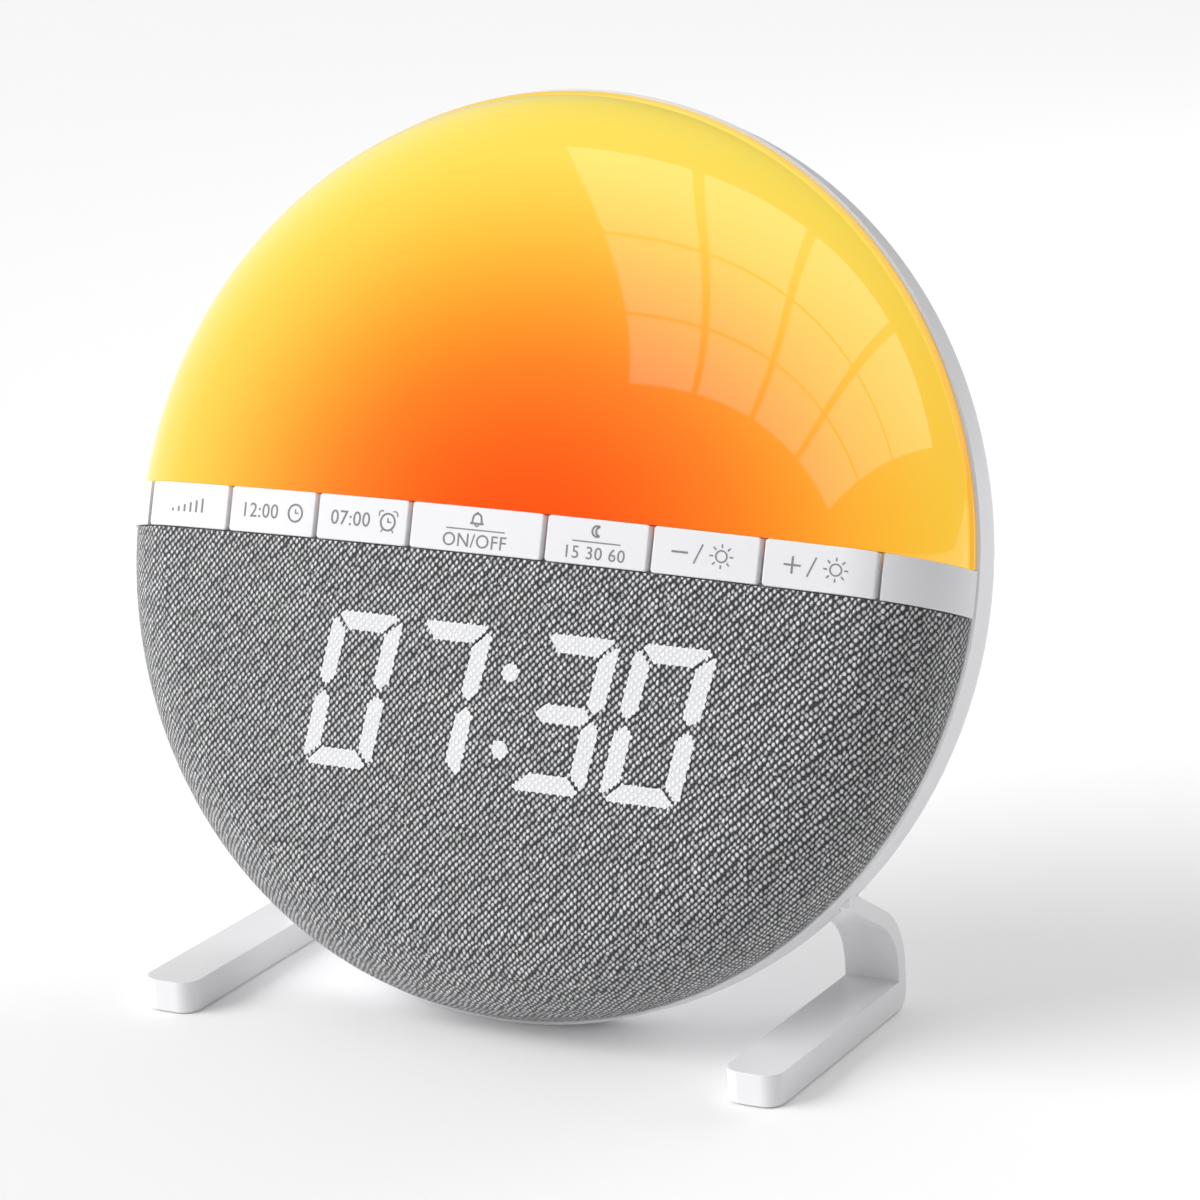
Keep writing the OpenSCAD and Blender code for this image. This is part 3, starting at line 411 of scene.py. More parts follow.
def plastic(name, light, dark, rough, grain_mm=0.012, grain_scale=1800.0, dust=0.15):
    """Moulded plastic: two near tones, a grain bump, polish where hands rub, a little dust."""
    material, tree, shader = blank_material(name)
    place = object_place(tree)
    grain = place_group(tree, GRAIN, Place=place, Grain_Scale=grain_scale).outputs
    film = place_group(tree, DUST, Place=place, Amount=dust).outputs["Film"]
    tone = mix_colours(tree, grain["Tone"], light, dark)
    dusty = tuple(0.55 * c + 0.3 for c in light)
    gloss = maths(tree, "MULTIPLY_ADD", grain["Polish"], -0.12 * rough, rough)
    feed_named(tree, shader, Base_Color=mix_colours(tree, film, tone, dusty),
               Roughness=maths(tree, "ADD", gloss, maths(tree, "MULTIPLY", film, 0.3)),
               Normal=relief(tree, grain["Height"], grain_mm * MM))
    return material


# %% [markdown]
# ## White mouldings
# The housing, the legs and the buttons are three grades of one white plastic. The legs came from
# a polished mould and are glossier. The buttons are satin, so they don't show finger marks.

# %% White plastics
WHITE_SHELL = plastic("white_shell_satin", (0.80, 0.80, 0.815), (0.74, 0.74, 0.76), 0.38)
WHITE_LEG = plastic("white_leg_gloss", (0.84, 0.84, 0.85), (0.79, 0.79, 0.805), 0.24,
                    grain_mm=0.005)
WHITE_BUTTON = plastic("white_button_satin", (0.82, 0.82, 0.84), (0.78, 0.78, 0.80), 0.34,
                       grain_mm=0.008)
MARK_INK = plastic("mark_ink_grey", (0.235, 0.235, 0.245), (0.20, 0.20, 0.21), 0.55, dust=0.0)
print("white plastics ready")

# %% [markdown]
# ## Diffuser
# The upper half is a glossy polycarbonate shell, lit from behind by rings of lights. It is
# brightest red low in its middle, where the light is deepest, and turns yellow towards the
# edge. The glow is a colour ramp over the distance from that deep spot. Nearly all of it is
# emission over a dark base colour, and a clear coat on top mirrors the room.

# %% Sunrise glow group
GLOW_STOPS = [(0.10, (252, 80, 6)), (0.24, (253, 102, 13)), (0.37, (253, 126, 20)),
              (0.46, (253, 147, 28)), (0.55, (252, 169, 38)), (0.65, (253, 195, 56)),
              (0.75, (253, 214, 74)), (0.86, (253, 227, 92)), (1.0, (253, 236, 118))]
GLOW_REACH = 90 * MM
GLOW_ACROSS, GLOW_STRETCH, GLOW_CLOUD = 10 * MM, 1.2, 3 * MM


def build_glow():
    """Sunrise colour from the distance to the deep spot, measured in the face's own plane."""
    g, given, result = new_group("sunrise_glow", ["Place"], ["Glow"])
    spot = MIDDLE + ACROSS * GLOW_ACROSS
    from_spot = vectors(g, "SUBTRACT", given["Place"], tuple(spot))
    across = maths(g, "DIVIDE", vectors(g, "DOT_PRODUCT", from_spot, tuple(ACROSS), out=1),
                   GLOW_STRETCH)
    up = vectors(g, "DOT_PRODUCT", from_spot, tuple(UP), out=1)
    far = maths(g, "SQRT", maths(g, "ADD", maths(g, "MULTIPLY", across, across),
                                 maths(g, "MULTIPLY", up, up)))
    cloud = noise(g, given["Place"], 14.0, in_Detail=1.0)
    soft = maths(g, "MULTIPLY_ADD", maths(g, "SUBTRACT", cloud, 0.5), GLOW_CLOUD, far)
    share = maths(g, "DIVIDE", soft, GLOW_REACH, clamp=True)
    ramp = add(g, "ShaderNodeValToRGB", in_Fac=share)
    ramp.color_ramp.interpolation = "B_SPLINE"
    stops = ramp.color_ramp.elements
    for i, (at, colour) in enumerate(GLOW_STOPS):
        stop = stops[i] if i < 2 else stops.new(at)
        stop.position, stop.color = at, (*srgb(*colour), 1)
    feed_named(g, result, Glow=ramp.outputs["Color"])
    return g


GLOW = build_glow()

# %% Diffuser materials
LIT_SHARE, UNLIT_BASE = 0.86, (0.02, 0.004, 0.0)
FLANGE_ORANGE = srgb(250, 140, 40)


def diffuser_material(name, deeper, strength, coat):
    material, tree, shader = blank_material(
        name, Roughness=0.32, Coat_Weight=coat, Coat_Roughness=0.03, Coat_IOR=1.5,
        Specular_IOR_Level=0.2, Emission_Strength=strength)
    place = object_place(tree)
    glow = place_group(tree, GLOW, Place=place).outputs["Glow"]
    if deeper:
        glow = mix_colours(tree, deeper, glow, FLANGE_ORANGE)
    grain = place_group(tree, GRAIN, Place=place, Grain_Scale=500.0)
    feed_named(tree, shader, Emission_Color=glow,
               Base_Color=mix_colours(tree, LIT_SHARE, glow, UNLIT_BASE),
               Normal=relief(tree, grain.outputs["Height"], 0.002 * MM))
    return material


DIFFUSER = diffuser_material("diffuser_glow", 0.0, 0.91, 0.85)
DIFFUSER_EDGE = diffuser_material("diffuser_flange_glow", 0.30, 0.86, 0.5)
print("diffuser ready")

# %% Diffuser shell
DIFFUSER_STEP, DIFFUSER_WALL = 0.5 * MM, 2.2 * MM
FLANGE_H, FLANGE_EDGE = 1.2 * MM, 0.15 * MM
CLIP_ANGLES = (30, 90, 150)  # clips that reach through the mid frame
CLIP_AT, CLIP_SIZE = Vector((78.9, 0, 4)) * MM, Vector((1.6, 8, 15)) * MM


def strip_edge(y):
    """A point and the upward normal of the plane at height y in the strip's frame."""
    return STRIP @ Vector((0, y, 0)), (STRIP.to_3x3() @ Vector((0, 1, 0)))


def true_normals(piece, stand):
    """Gives the outer skin the arcs' own normals, so that mirrored lines run clean."""
    piece.modifiers.clear()
    to_face, normals = FACE.inverted(), []
    for v in piece.data.vertices:
        x, y, z = to_face @ v.co
        r = math.hypot(x, y)
        on_skin = MM < r < DOME_R - MM and abs(z - dome_height(r, stand)) < 0.002 * MM
        normals.append(FACE_TURN @ dome_normal(x, y, stand) if on_skin else Vector())
    piece.data.normals_split_custom_set_from_vertices(normals)
    return piece


def make_diffuser():
    outer = dome_arc(-DIFFUSER_STEP, foot=FLANGE_H, crown_steps=40, shoulder_steps=32)
    foot = [(DOME_R - FLANGE_EDGE, FLANGE_H), (DOME_R, FLANGE_H - FLANGE_EDGE), (DOME_R, 0)]
    inner = dome_arc(-DIFFUSER_STEP - DIFFUSER_WALL)
    bm = spun(outer + foot + inner[::-1])
    half_of(bm, *strip_edge(STRIP_HALF + STRIP_GAP))
    soften(bm, 0.2 * MM)
    for face in bm.faces:
        if max(v.co.z for v in face.verts) < FLANGE_H + 0.05 * MM:
            face.material_index = 1
    for angle in CLIP_ANGLES:
        turn = Matrix.Rotation(math.radians(angle), 4, "Z")
        add_box(bm, turn @ Matrix.Translation(CLIP_AT), CLIP_SIZE)
    bm.transform(FACE)
    shell = finish_mesh(bm, "diffuser_dome_shell", DIFFUSER, DIFFUSER_EDGE)
    return true_normals(shell, -DIFFUSER_STEP)


diffuser = make_diffuser()
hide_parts("diffuser_dome")

# %% [markdown]
# ## Woven cloth
# The lower half is a basket-like weave: short plump stitches in staggered rows with dark gaps
# between them. A node group draws it as two offset lattices of little ellipses, and gives a
# height, a brightness and a stitch mask. It follows the cloth's own UV map, so that it runs over
# the shoulder as stretched cloth does.

# %% Weave group
STITCH_WIDE, STITCH_HIGH = 1.36 * MM, 1.44 * MM
STITCH_LEAN, STITCH_OVAL = math.radians(70), (1.0, 1.38, 0.0)
STITCH_NUDGE, ROW_SWAY = 0.2, 0.5            # in stitches
STITCH_OUTSIDE, STITCH_FULL = 0.41, 0.16     # in stitches from its middle
HAIR_SCALE, HAIR_DEPTH = 620.0, 0.8
TONE_SPREAD, TONE_LEAST = 0.42, 0.64
CLOTH_SPAN = 220 * MM       # the width of cloth that fills the UV square


def lattice(g, place, shift):
    """One of the two lattices: how far a point is from its stitch, and a number per stitch."""
    moved = vectors(g, "ADD", place, (shift, shift, 0))
    number = add(g, "ShaderNodeTexWhiteNoise", noise_dimensions="3D",
                 in_Vector=vectors(g, "FLOOR", moved)).outputs
    cell = vectors(g, "SUBTRACT", vectors(g, "FRACTION", moved), (0.5, 0.5, 0))
    nudged = vectors(g, "ADD", cell, from_middle(g, number["Color"], STITCH_NUDGE))
    leaned = add(g, "ShaderNodeVectorRotate", rotation_type="Z_AXIS", in_Angle=-STITCH_LEAN,
                 in_Vector=nudged)
    oval = vectors(g, "MULTIPLY", leaned.outputs[0], STITCH_OVAL)
    return vectors(g, "LENGTH", oval, out=1), number["Value"]


def build_weave():
    g, given, result = new_group("basket_weave", ["Place"], ["Height", "Thread", "Stitch"])
    sway = noise(g, given["Place"], 45.0, out="Color", in_Detail=3.0)
    counts = (CLOTH_SPAN / STITCH_WIDE, CLOTH_SPAN / STITCH_HIGH, 0)
    place = vectors(g, "ADD", vectors(g, "MULTIPLY", given["Place"], counts),
                    from_middle(g, sway, ROW_SWAY))
    (near_a, tone_a), (near_b, tone_b) = lattice(g, place, 0.0), lattice(g, place, 0.5)
    tone = add(g, "ShaderNodeMix", data_type="FLOAT", in_0=maths(g, "LESS_THAN", near_b, near_a),
               in_2=tone_a, in_3=tone_b)
    stitch = smooth_range(g, maths(g, "MINIMUM", near_a, near_b), STITCH_OUTSIDE, STITCH_FULL)
    hair = noise(g, given["Place"], HAIR_SCALE, in_Detail=3.0, in_Roughness=0.7)
    hairy = maths(g, "MULTIPLY_ADD", maths(g, "SUBTRACT", hair, 0.5), HAIR_DEPTH, stitch)
    bright = maths(g, "MULTIPLY_ADD", tone.outputs[0], TONE_SPREAD, TONE_LEAST)
    feed_named(g, result, Height=hairy, Stitch=stitch,
               Thread=maths(g, "MULTIPLY", hairy, bright, clamp=True))
    return g


WEAVE = build_weave()

# %% Cloth materials
CLOTH_MAP, CLOTH_RELIEF = "cloth_map", 0.34 * MM
THREAD_DARK, THREAD_LIGHT = (0.036, 0.037, 0.041), (0.88, 0.885, 0.90)
SHINE_DARK, SHINE_LIGHT, SHINE_BASE = (0.62, 0.63, 0.65), (1.0, 1.0, 1.0), (0.42, 0.42, 0.43)


def cloth_material(name, lit=False, **sockets):
    """Woven cloth. Where the display is lit, stitches glow, gaps glow less, edges are ragged."""
    material, tree, shader = blank_material(name, Roughness=0.82, Specular_IOR_Level=0.15,
                                            **sockets)
    place = add(tree, "ShaderNodeUVMap", uv_map=CLOTH_MAP).outputs["UV"]
    weave = place_group(tree, WEAVE, Place=place).outputs
    colour = mix_colours(tree, weave["Thread"], THREAD_DARK, THREAD_LIGHT)
    if lit:
        edge = add(tree, "ShaderNodeAttribute", attribute_name="lit").outputs["Fac"]
        ragged = maths(tree, "MULTIPLY_ADD", weave["Stitch"], 0.55, edge)
        share = smooth_range(tree, ragged, 0.52, 0.78)
        shine = mix_colours(tree, weave["Thread"], SHINE_DARK, SHINE_LIGHT)
        feed_named(tree, shader, Emission_Color=mix_colours(tree, share, (0, 0, 0), shine))
        colour = mix_colours(tree, share, colour, SHINE_BASE)
    feed_named(tree, shader, Base_Color=colour,
               Normal=relief(tree, weave["Height"], CLOTH_RELIEF))
    return material


CLOTH = cloth_material("grey_basket_cloth", Sheen_Weight=0.6, Sheen_Roughness=0.4)
LIT_CLOTH = cloth_material("lit_basket_cloth", lit=True, Emission_Strength=0.64)
print("cloth ready,", round(CLOTH_SPAN / STITCH_WIDE), "stitches across the map")

# %% Cloth map
ARC_STEPS = 40
ARC = dome_arc(0.0, crown_steps=ARC_STEPS, shoulder_steps=ARC_STEPS)
ARC_LENGTHS = [0.0]
for (r0, z0), (r1, z1) in zip(ARC, ARC[1:]):
    ARC_LENGTHS.append(ARC_LENGTHS[-1] + math.hypot(r1 - r0, z1 - z0))


def along_cloth(r, z):
    """How far a thread runs over the dome from its middle to the point (r, z)."""
    k = min(range(len(ARC)), key=lambda i: (ARC[i][0] - r) ** 2 + (ARC[i][1] - z) ** 2)
    return ARC_LENGTHS[k] + (r - ARC[k][0] if k < ARC_STEPS else 0)


def map_cloth(bm):
    """Lays the cloth's flat cut over the dome, by distance and direction from the middle."""
    layer = bm.loops.layers.uv.new(CLOTH_MAP)
    for face in bm.faces:
        for loop in face.loops:
            x, y, z = loop.vert.co
            r = math.hypot(x, y)
            scale = along_cloth(r, z) / r / CLOTH_SPAN if r > 1e-6 else 0.0
            loop[layer].uv = (0.5 + x * scale, 0.5 + y * scale)


print("cloth from middle to foot:", round(ARC_LENGTHS[-1] / MM, 1), "mm")

# %% Cloth cover
CLOTH_T = 0.8 * MM


def make_cloth():
    bm = spun(dome_arc(0.0) + dome_arc(-CLOTH_T)[::-1])
    point, normal = strip_edge(-STRIP_HALF - STRIP_GAP)
    half_of(bm, point, -normal)
    soften(bm, 0.3 * MM, segments=3)
    map_cloth(bm)
    area = sum(f.calc_area() for f in bm.faces) / 2
    bm.transform(FACE)
    return finish_mesh(bm, "stretched_cloth", CLOTH), area


cloth, cloth_area = make_cloth()
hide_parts("cloth_cover")

# %% [markdown]
# ## Time on the display
# The digits shine through the cloth. Each segment is a thin skin laid on the cloth, with the
# same weave, and an attribute that runs from 0 at its rim to 1 inside. The material adds the
# stitches to that attribute, so the light breaks up along the threads.

# %% Digit segments
DISPLAY_AT = Vector((7.2, -27.5, 0)) * MM
DIGIT_W, DIGIT_H, SEGMENT_W, SEGMENT_GAP = 15.6, 28.9, 3.9, 0.09
CHAMFER = 2.0                # how much of a digit's outer corner is cut off
SLANT = math.tan(math.radians(11.5))
DIGIT_X = [-30.5, -12.1, 12.7, 30.6]
SHOWN = ["abcdef", "abc", "abcdg", "abcdef"]
COLON_AT, COLON_R = [(2.1, 6.4), (0.8, -7.4)], 1.95
RAGGED_RIM, SKIN_SLICE, SKIN_T, SKIN_SUNK = 0.55 * MM, 2.2 * MM, 0.07 * MM, -0.02 * MM


def flipped(points, x=1, y=1):
    return [(x * a, y * b) for a, b in points]


def upright_segment():
    """The upper right bar: mitred into the top bar, and pointed at the digit's waist."""
    edge, top = DIGIT_W / 2, DIGIT_H / 2 - SEGMENT_GAP
    inner, foot = edge - SEGMENT_W, SEGMENT_W / 2 + SEGMENT_GAP
    return [(inner, top - SEGMENT_W), (edge - CHAMFER / 2, top - CHAMFER / 2),
            (edge, top - CHAMFER), (edge, foot), (edge - SEGMENT_W / 2, SEGMENT_GAP),
            (inner, foot)]


def top_segment():
    """The top bar: its long side is outside, and both ends are mitred."""
    edge, top = DIGIT_W / 2 - SEGMENT_GAP, DIGIT_H / 2
    half = [(edge - SEGMENT_W, top - SEGMENT_W), (edge - CHAMFER / 2, top - CHAMFER / 2),
            (edge - CHAMFER, top)]
    return flipped(half, x=-1) + half[::-1]


def middle_segment():
    """The middle bar, pointed at both ends."""
    reach = DIGIT_W / 2 - SEGMENT_W / 2 - SEGMENT_GAP
    half = [(reach - SEGMENT_W / 2, -SEGMENT_W / 2), (reach, 0),
            (reach - SEGMENT_W / 2, SEGMENT_W / 2)]
    return half + flipped(half, -1, -1)


SEGMENTS = {"a": top_segment(), "d": flipped(top_segment(), y=-1), "g": middle_segment(),
            "b": upright_segment(), "c": flipped(upright_segment(), y=-1),
            "f": flipped(upright_segment(), x=-1), "e": flipped(upright_segment(), -1, -1)}


def lay_on_dome(bm, stand):
    """Moves flat points (x, y, h) onto the dome, h above a skin that stands proud."""
    for v in bm.verts:
        x, y, h = v.co
        v.co.z = dome_height(math.hypot(x, y), stand) + h


def slice_across(bm, step, axis=0):
    """Cuts a flat mesh into narrow strips, so that it can follow a curve."""
    places = [v.co[axis] for v in bm.verts]
    low, high = min(places), max(places)
    normal = Vector([float(i == axis) for i in range(3)])
    for k in range(1, int((high - low) / step) + 1):
        cut(bm, normal * (low + k * step), normal)


def make_digits():
    bm = bmesh.new()
    for x0, letters in zip(DIGIT_X, SHOWN):
        for letter in letters:
            bm.faces.new([bm.verts.new(((x + x0 + y * SLANT) * MM, y * MM, 0))
                          for x, y in SEGMENTS[letter]])
    for x, y in COLON_AT:
        dot = bmesh.ops.create_circle(bm, cap_ends=True, radius=COLON_R * MM, segments=24)
        bmesh.ops.translate(bm, verts=dot["verts"], vec=(x * MM, y * MM, 0))
    bmesh.ops.recalc_face_normals(bm, faces=bm.faces)
    lit = bm.verts.layers.float.new("lit")
    rim = set(bm.verts)
    bmesh.ops.inset_individual(bm, faces=bm.faces, thickness=RAGGED_RIM, use_even_offset=True)
    for v in bm.verts:
        v[lit] = 0.0 if v in rim else 1.0
    bmesh.ops.translate(bm, verts=bm.verts, vec=DISPLAY_AT)
    for axis in (0, 1):
        slice_across(bm, SKIN_SLICE, axis)
    for face in bm.faces:
        if face.normal.z < 0:
            face.normal_flip()
    skin = bmesh.ops.extrude_face_region(bm, geom=bm.faces[:])
    for v in skin["geom"]:
        if isinstance(v, bmesh.types.BMVert):
            v.co.z += SKIN_T
    bmesh.ops.recalc_face_normals(bm, faces=bm.faces)
    lay_on_dome(bm, SKIN_SUNK)
    map_cloth(bm)
    bm.transform(FACE)
    return finish_mesh(bm, "lit_time_digits", LIT_CLOTH, weighted=False)


digits = make_digits()

# %% [markdown]
# ## Push buttons
# A button's cap is a thin block whose top follows the dome. It is made flat, with its stem and
# keeper flange behind it: the corners are rounded, the front edge is bevelled, and the block is
# cut into narrow strips. Then every point is moved to its height above the curved front.

# %% Laying things on the strip
def lay_on_strip(bm, stand):
    """Moves flat points (x, y, h) of the strip's frame onto the curved front."""
    for v in bm.verts:
        x, y, h = v.co
        v.co = STRIP @ Vector((x, y, strip_height(x, y, stand) + h))


def flat_block(bm, x0, x1, half, low, high):
    add_box(bm, Matrix.Translation(((x0 + x1) / 2, 0, (low + high) / 2)),
            (x1 - x0, 2 * half, high - low))


# %% Caps
CAP_T, CAP_CORNER, CAP_EDGE = 1.6 * MM, 0.6 * MM, 0.28 * MM
RAIL_W, SLIDE_GAP, NECK_INSET = 0.8 * MM, 0.15 * MM, 1.6 * MM
NECK_HALF = STRIP_HALF - RAIL_W - SLIDE_GAP
RAIL_T, KEEPER_T, TRAVEL = 1.4 * MM, 1.0 * MM, 0.6 * MM
KEEPER_LIP, SPARE_TRAVEL, CAP_SLICE = 0.75 * MM, 0.3 * MM, 0.9 * MM
KEEPER_OUT = STRIP_PROUD - CAP_T - TRAVEL - SPARE_TRAVEL - RAIL_T


def make_button(k):
    x0, x1 = EDGES[k] + BUTTON_GAP / 2, EDGES[k + 1] - BUTTON_GAP / 2
    bm = bmesh.new()
    flat_block(bm, x0, x1, CAP_HALF, -CAP_T, 0)
    corners = [e for e in bm.edges if abs(e.verts[0].co.z - e.verts[1].co.z) > CAP_T / 2]
    bevel(bm, corners, CAP_CORNER, 5)
    front = [e for e in bm.edges if all(abs(v.co.z) < 1e-7 for v in e.verts)]
    bevel(bm, front, CAP_EDGE, 3)
    stem = (x0 + NECK_INSET, x1 - NECK_INSET)
    keeper = KEEPER_OUT - STRIP_PROUD
    flat_block(bm, *stem, NECK_HALF, keeper, -CAP_T + 0.02 * MM)
    flat_block(bm, *stem, NECK_HALF + KEEPER_LIP, keeper - KEEPER_T, keeper)
    slice_across(bm, CAP_SLICE)
    lay_on_strip(bm, STRIP_PROUD)
    bm.transform(FACE)
    node = BUTTONS[k] + "_button"
    piece = finish_mesh(bm, BUTTONS[k] + "_cap", WHITE_BUTTON, body=node)
    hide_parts(node)


for k in range(len(BUTTONS)):
    make_button(k)

# %% [markdown]
# ## Printed marks
# Each button carries a small grey print of straight strokes and rings. They are drawn flat,
# sliced, and laid on the curved top like the cap, a few hundredths of a millimetre proud.

# %% Strokes
INK, FINE_INK, SUN_INK, RULE_INK, BAR_INK = (w * MM for w in (0.36, 0.24, 0.26, 0.22, 0.42))
TEXT_SIZE, LETTER_GAP = 1.38, 1.06       # type size for a digit's height


def stroke(bm, start, end, width=INK):
    a, b = Vector(start) * MM, Vector(end) * MM
    turn = Matrix.Rotation(math.atan2(b.y - a.y, b.x - a.x), 4, "Z")
    add_box(bm, Matrix.Translation((*((a + b) / 2), 0)) @ turn, ((b - a).length, width, 1 * MM))


def ring(bm, centre, radius, start=0, sweep=360, width=INK):
    """A ring, or an arc that starts at an angle and sweeps on, in degrees."""
    start, sweep = math.radians(start), math.radians(sweep)
    middle = Vector((*centre, 0)) * MM
    spoke = Vector((math.cos(start), math.sin(start), 0))
    corners = [middle + spoke * (radius * MM + s * width / 2) + Vector((0, 0, t * MM / 2))
               for s, t in ((-1, -1), (1, -1), (1, 1), (-1, 1))]
    face = bm.faces.new([bm.verts.new(c) for c in corners])
    full = abs(sweep - math.tau) < 1e-6
    bmesh.ops.spin(bm, geom=[face] + face.edges[:] + face.verts[:], cent=middle,
                   axis=(0, 0, 1), angle=sweep, steps=max(6, int(28 * sweep / math.tau)),
                   use_merge=full)
    if full and face.is_valid:
        bm.faces.remove(face)


def digits_text(bm, words, centre, height):
    """Plain numbers or a switch word, from the built-in typeface."""
    curve = bpy.data.curves.new("print", "FONT")
    curve.body, curve.align_x, curve.align_y = words, "CENTER", "CENTER"
    curve.size, curve.extrude, curve.resolution_u = height * TEXT_SIZE * MM, 0.5 * MM, 4
    curve.space_character = LETTER_GAP
    text = placed("print", curve)
    mesh = bpy.data.meshes.new_from_object(
        text.evaluated_get(bpy.context.evaluated_depsgraph_get()))
    bpy.data.objects.remove(text)
    old = set(bm.verts)
    bm.from_mesh(mesh)
    bpy.data.meshes.remove(mesh)
    made = [v for v in bm.verts if v not in old]
    middle = [(min(v.co[i] for v in made) + max(v.co[i] for v in made)) / 2 for i in (0, 1)]
    bmesh.ops.translate(bm, verts=made, vec=[c * MM - m for c, m in zip(centre, middle)] + [0])
    bmesh.ops.remove_doubles(bm, verts=made, dist=1e-7)


# %% Icons
def clock_icon(bm, x, y, r=1.55):
    ring(bm, (x, y), r)
    stroke(bm, (x, y + 0.75), (x, y - 0.1), FINE_INK)
    stroke(bm, (x - 0.1, y), (x + 0.75, y), FINE_INK)


def alarm_icon(bm, x, y):
    clock_icon(bm, x, y, 1.5)
    for s in (-1, 1):
        ring(bm, (x + s * 1.35, y + 1.35), 0.62, start=15 - 45 * s, sweep=150, width=FINE_INK)
        stroke(bm, (x + s * 1.0, y - 1.35), (x + s * 1.3, y - 1.85), FINE_INK)


def bell_icon(bm, x, y):
    ring(bm, (x, y), 0.85, sweep=180)
    for s in (-1, 1):
        stroke(bm, (x + s * 0.85, y + 0.08), (x + s * 0.95, y - 0.85))
    stroke(bm, (x - 1.35, y - 0.9), (x + 1.35, y - 0.9))
    ring(bm, (x, y - 1.05), 0.35, start=180, sweep=180, width=FINE_INK)
    stroke(bm, (x, y + 0.85), (x, y + 1.2))


def sun_icon(bm, x, y):
    ring(bm, (x, y), 1.0, width=SUN_INK)
    for k in range(8):
        a = math.radians(45 * k)
        stroke(bm, (x + 1.5 * math.cos(a), y + 1.5 * math.sin(a)),
               (x + 2.15 * math.cos(a), y + 2.15 * math.sin(a)), SUN_INK)


def moon_icon(bm, x, y):
    ring(bm, (x, y), 0.95, start=60, sweep=240)
    ring(bm, (x + 0.62, y), 0.83, start=98, sweep=164)


# %% Marks
def level_mark(bm, x):
    for i in range(6):
        tall = 0.5 + 0.42 * i
        stroke(bm, (x - 3.6 + 1.44 * i, -1.3), (x - 3.6 + 1.44 * i, -1.3 + tall), BAR_INK)


def time_mark(bm, x):
    digits_text(bm, "12:00", (x - 2.5, 0), 2.7)
    clock_icon(bm, x + 5.4, 0)


def alarm_mark(bm, x):
    digits_text(bm, "07:00", (x - 2.5, 0), 2.7)
    alarm_icon(bm, x + 5.6, -0.1)


def switch_mark(bm, x):
    bell_icon(bm, x + 0.2, 2.05)
    stroke(bm, (x - 5.9, 0), (x + 5.9, 0), RULE_INK)
    digits_text(bm, "ON/OFF", (x, -1.95), 2.5)


def sleep_mark(bm, x):
    moon_icon(bm, x, 1.95)
    stroke(bm, (x - 4.6, 0), (x + 4.6, 0), RULE_INK)
    digits_text(bm, "15 30 60", (x, -1.95), 2.3)


def dim_mark(bm, x, plus):
    stroke(bm, (x - 6.1, 0), (x - 3.1, 0))
    if plus:
        stroke(bm, (x - 4.6, -1.5), (x - 4.6, 1.5))
    stroke(bm, (x - 1.9, -1.75), (x - 0.5, 1.75), SUN_INK)
    sun_icon(bm, x + 3.0, 0)


MARKS = {"dimmer": level_mark, "time": time_mark, "alarm_set": alarm_mark,
         "alarm_switch": switch_mark, "sleep": sleep_mark,
         "brightness_down": lambda bm, x: dim_mark(bm, x, False),
         "brightness_up": lambda bm, x: dim_mark(bm, x, True)}
INK_PROUD, INK_SUNK, INK_SLICE = 0.03 * MM, -0.05 * MM, 1.3 * MM


def make_mark(k):
    name = BUTTONS[k]
    bm = bmesh.new()
    MARKS[name](bm, (EDGES[k] + EDGES[k + 1]) / 2 / MM)
    for v in bm.verts:
        v.co.z = INK_PROUD if v.co.z > 0 else INK_SUNK
    bmesh.ops.recalc_face_normals(bm, faces=bm.faces)
    slice_across(bm, INK_SLICE)
    lay_on_strip(bm, STRIP_PROUD)
    bm.transform(FACE)
    finish_mesh(bm, name + "_mark", MARK_INK, body=name + "_button", weighted=False)


for k in range(len(BUTTONS)):
    make_mark(k)

# %% [markdown]
# ## Pieces that keep the engineering shape
# The housing, the legs, the strip's frame and the battery door only lack the small rounded edges
# that a mould leaves. A copy of each mesh is merged, its flat areas are joined up again, and
# every sharp edge is bevelled.

# %% Dress a copy of an engineering node
SAME_POINT, SAME_PLANE = 0.003 * MM, math.radians(0.8)
DRESSED = [   # node, piece, material, its slot, edge in mm, segments of the edge, body
    ("left_leg", "left_leg_moulding", WHITE_LEG, "white_leg", 0.8, 3, "clock"),
    ("right_leg", "right_leg_moulding", WHITE_LEG, "white_leg", 0.8, 3, "clock"),
    ("rear_housing", "rear_housing_moulding", WHITE_SHELL, "white_shell", 0.12, 2, "clock"),
    ("button_frame", "button_strip_frame", WHITE_BUTTON, "white_button", 0.12, 2, "clock"),
    ("battery_door", "battery_door_moulding", WHITE_SHELL, "white_shell", 0.15, 2, "battery_door"),
]
for node, name, material, slot, edge, segments, body in DRESSED:
    bm = bmesh.new()
    bm.from_mesh(frame["nodes"][node].data)
    bmesh.ops.remove_doubles(bm, verts=bm.verts, dist=SAME_POINT)
    bmesh.ops.dissolve_limit(bm, angle_limit=SAME_PLANE, verts=bm.verts, edges=bm.edges)
    soften(bm, edge * MM, segments=segments, angle=35)
    piece = finish_mesh(bm, name, material, body=body)
    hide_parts(node)

# %% [markdown]
# ## Materials for the pieces inside
# The model can be opened up, so each inner piece has a finish of its own. Metals get brushed
# streaks, boards get traces, paper and foam get cells, and the rest are plain mouldings.

# %% Brushed metal group
def build_brushed():
    """Long thin scratches: a height and a roughness."""
    g, given, result = new_group("brushed_streaks", ["Place", "Scale"], ["Height", "Streak"])
    squashed = vectors(g, "MULTIPLY", given["Place"], (1.0, 0.06, 0.06))
    streak = noise(g, squashed, given["Scale"], in_Detail=4.0, in_Roughness=0.6)
    feed_named(g, result, Height=streak, Streak=streak)
    return g


BRUSHED = build_brushed()


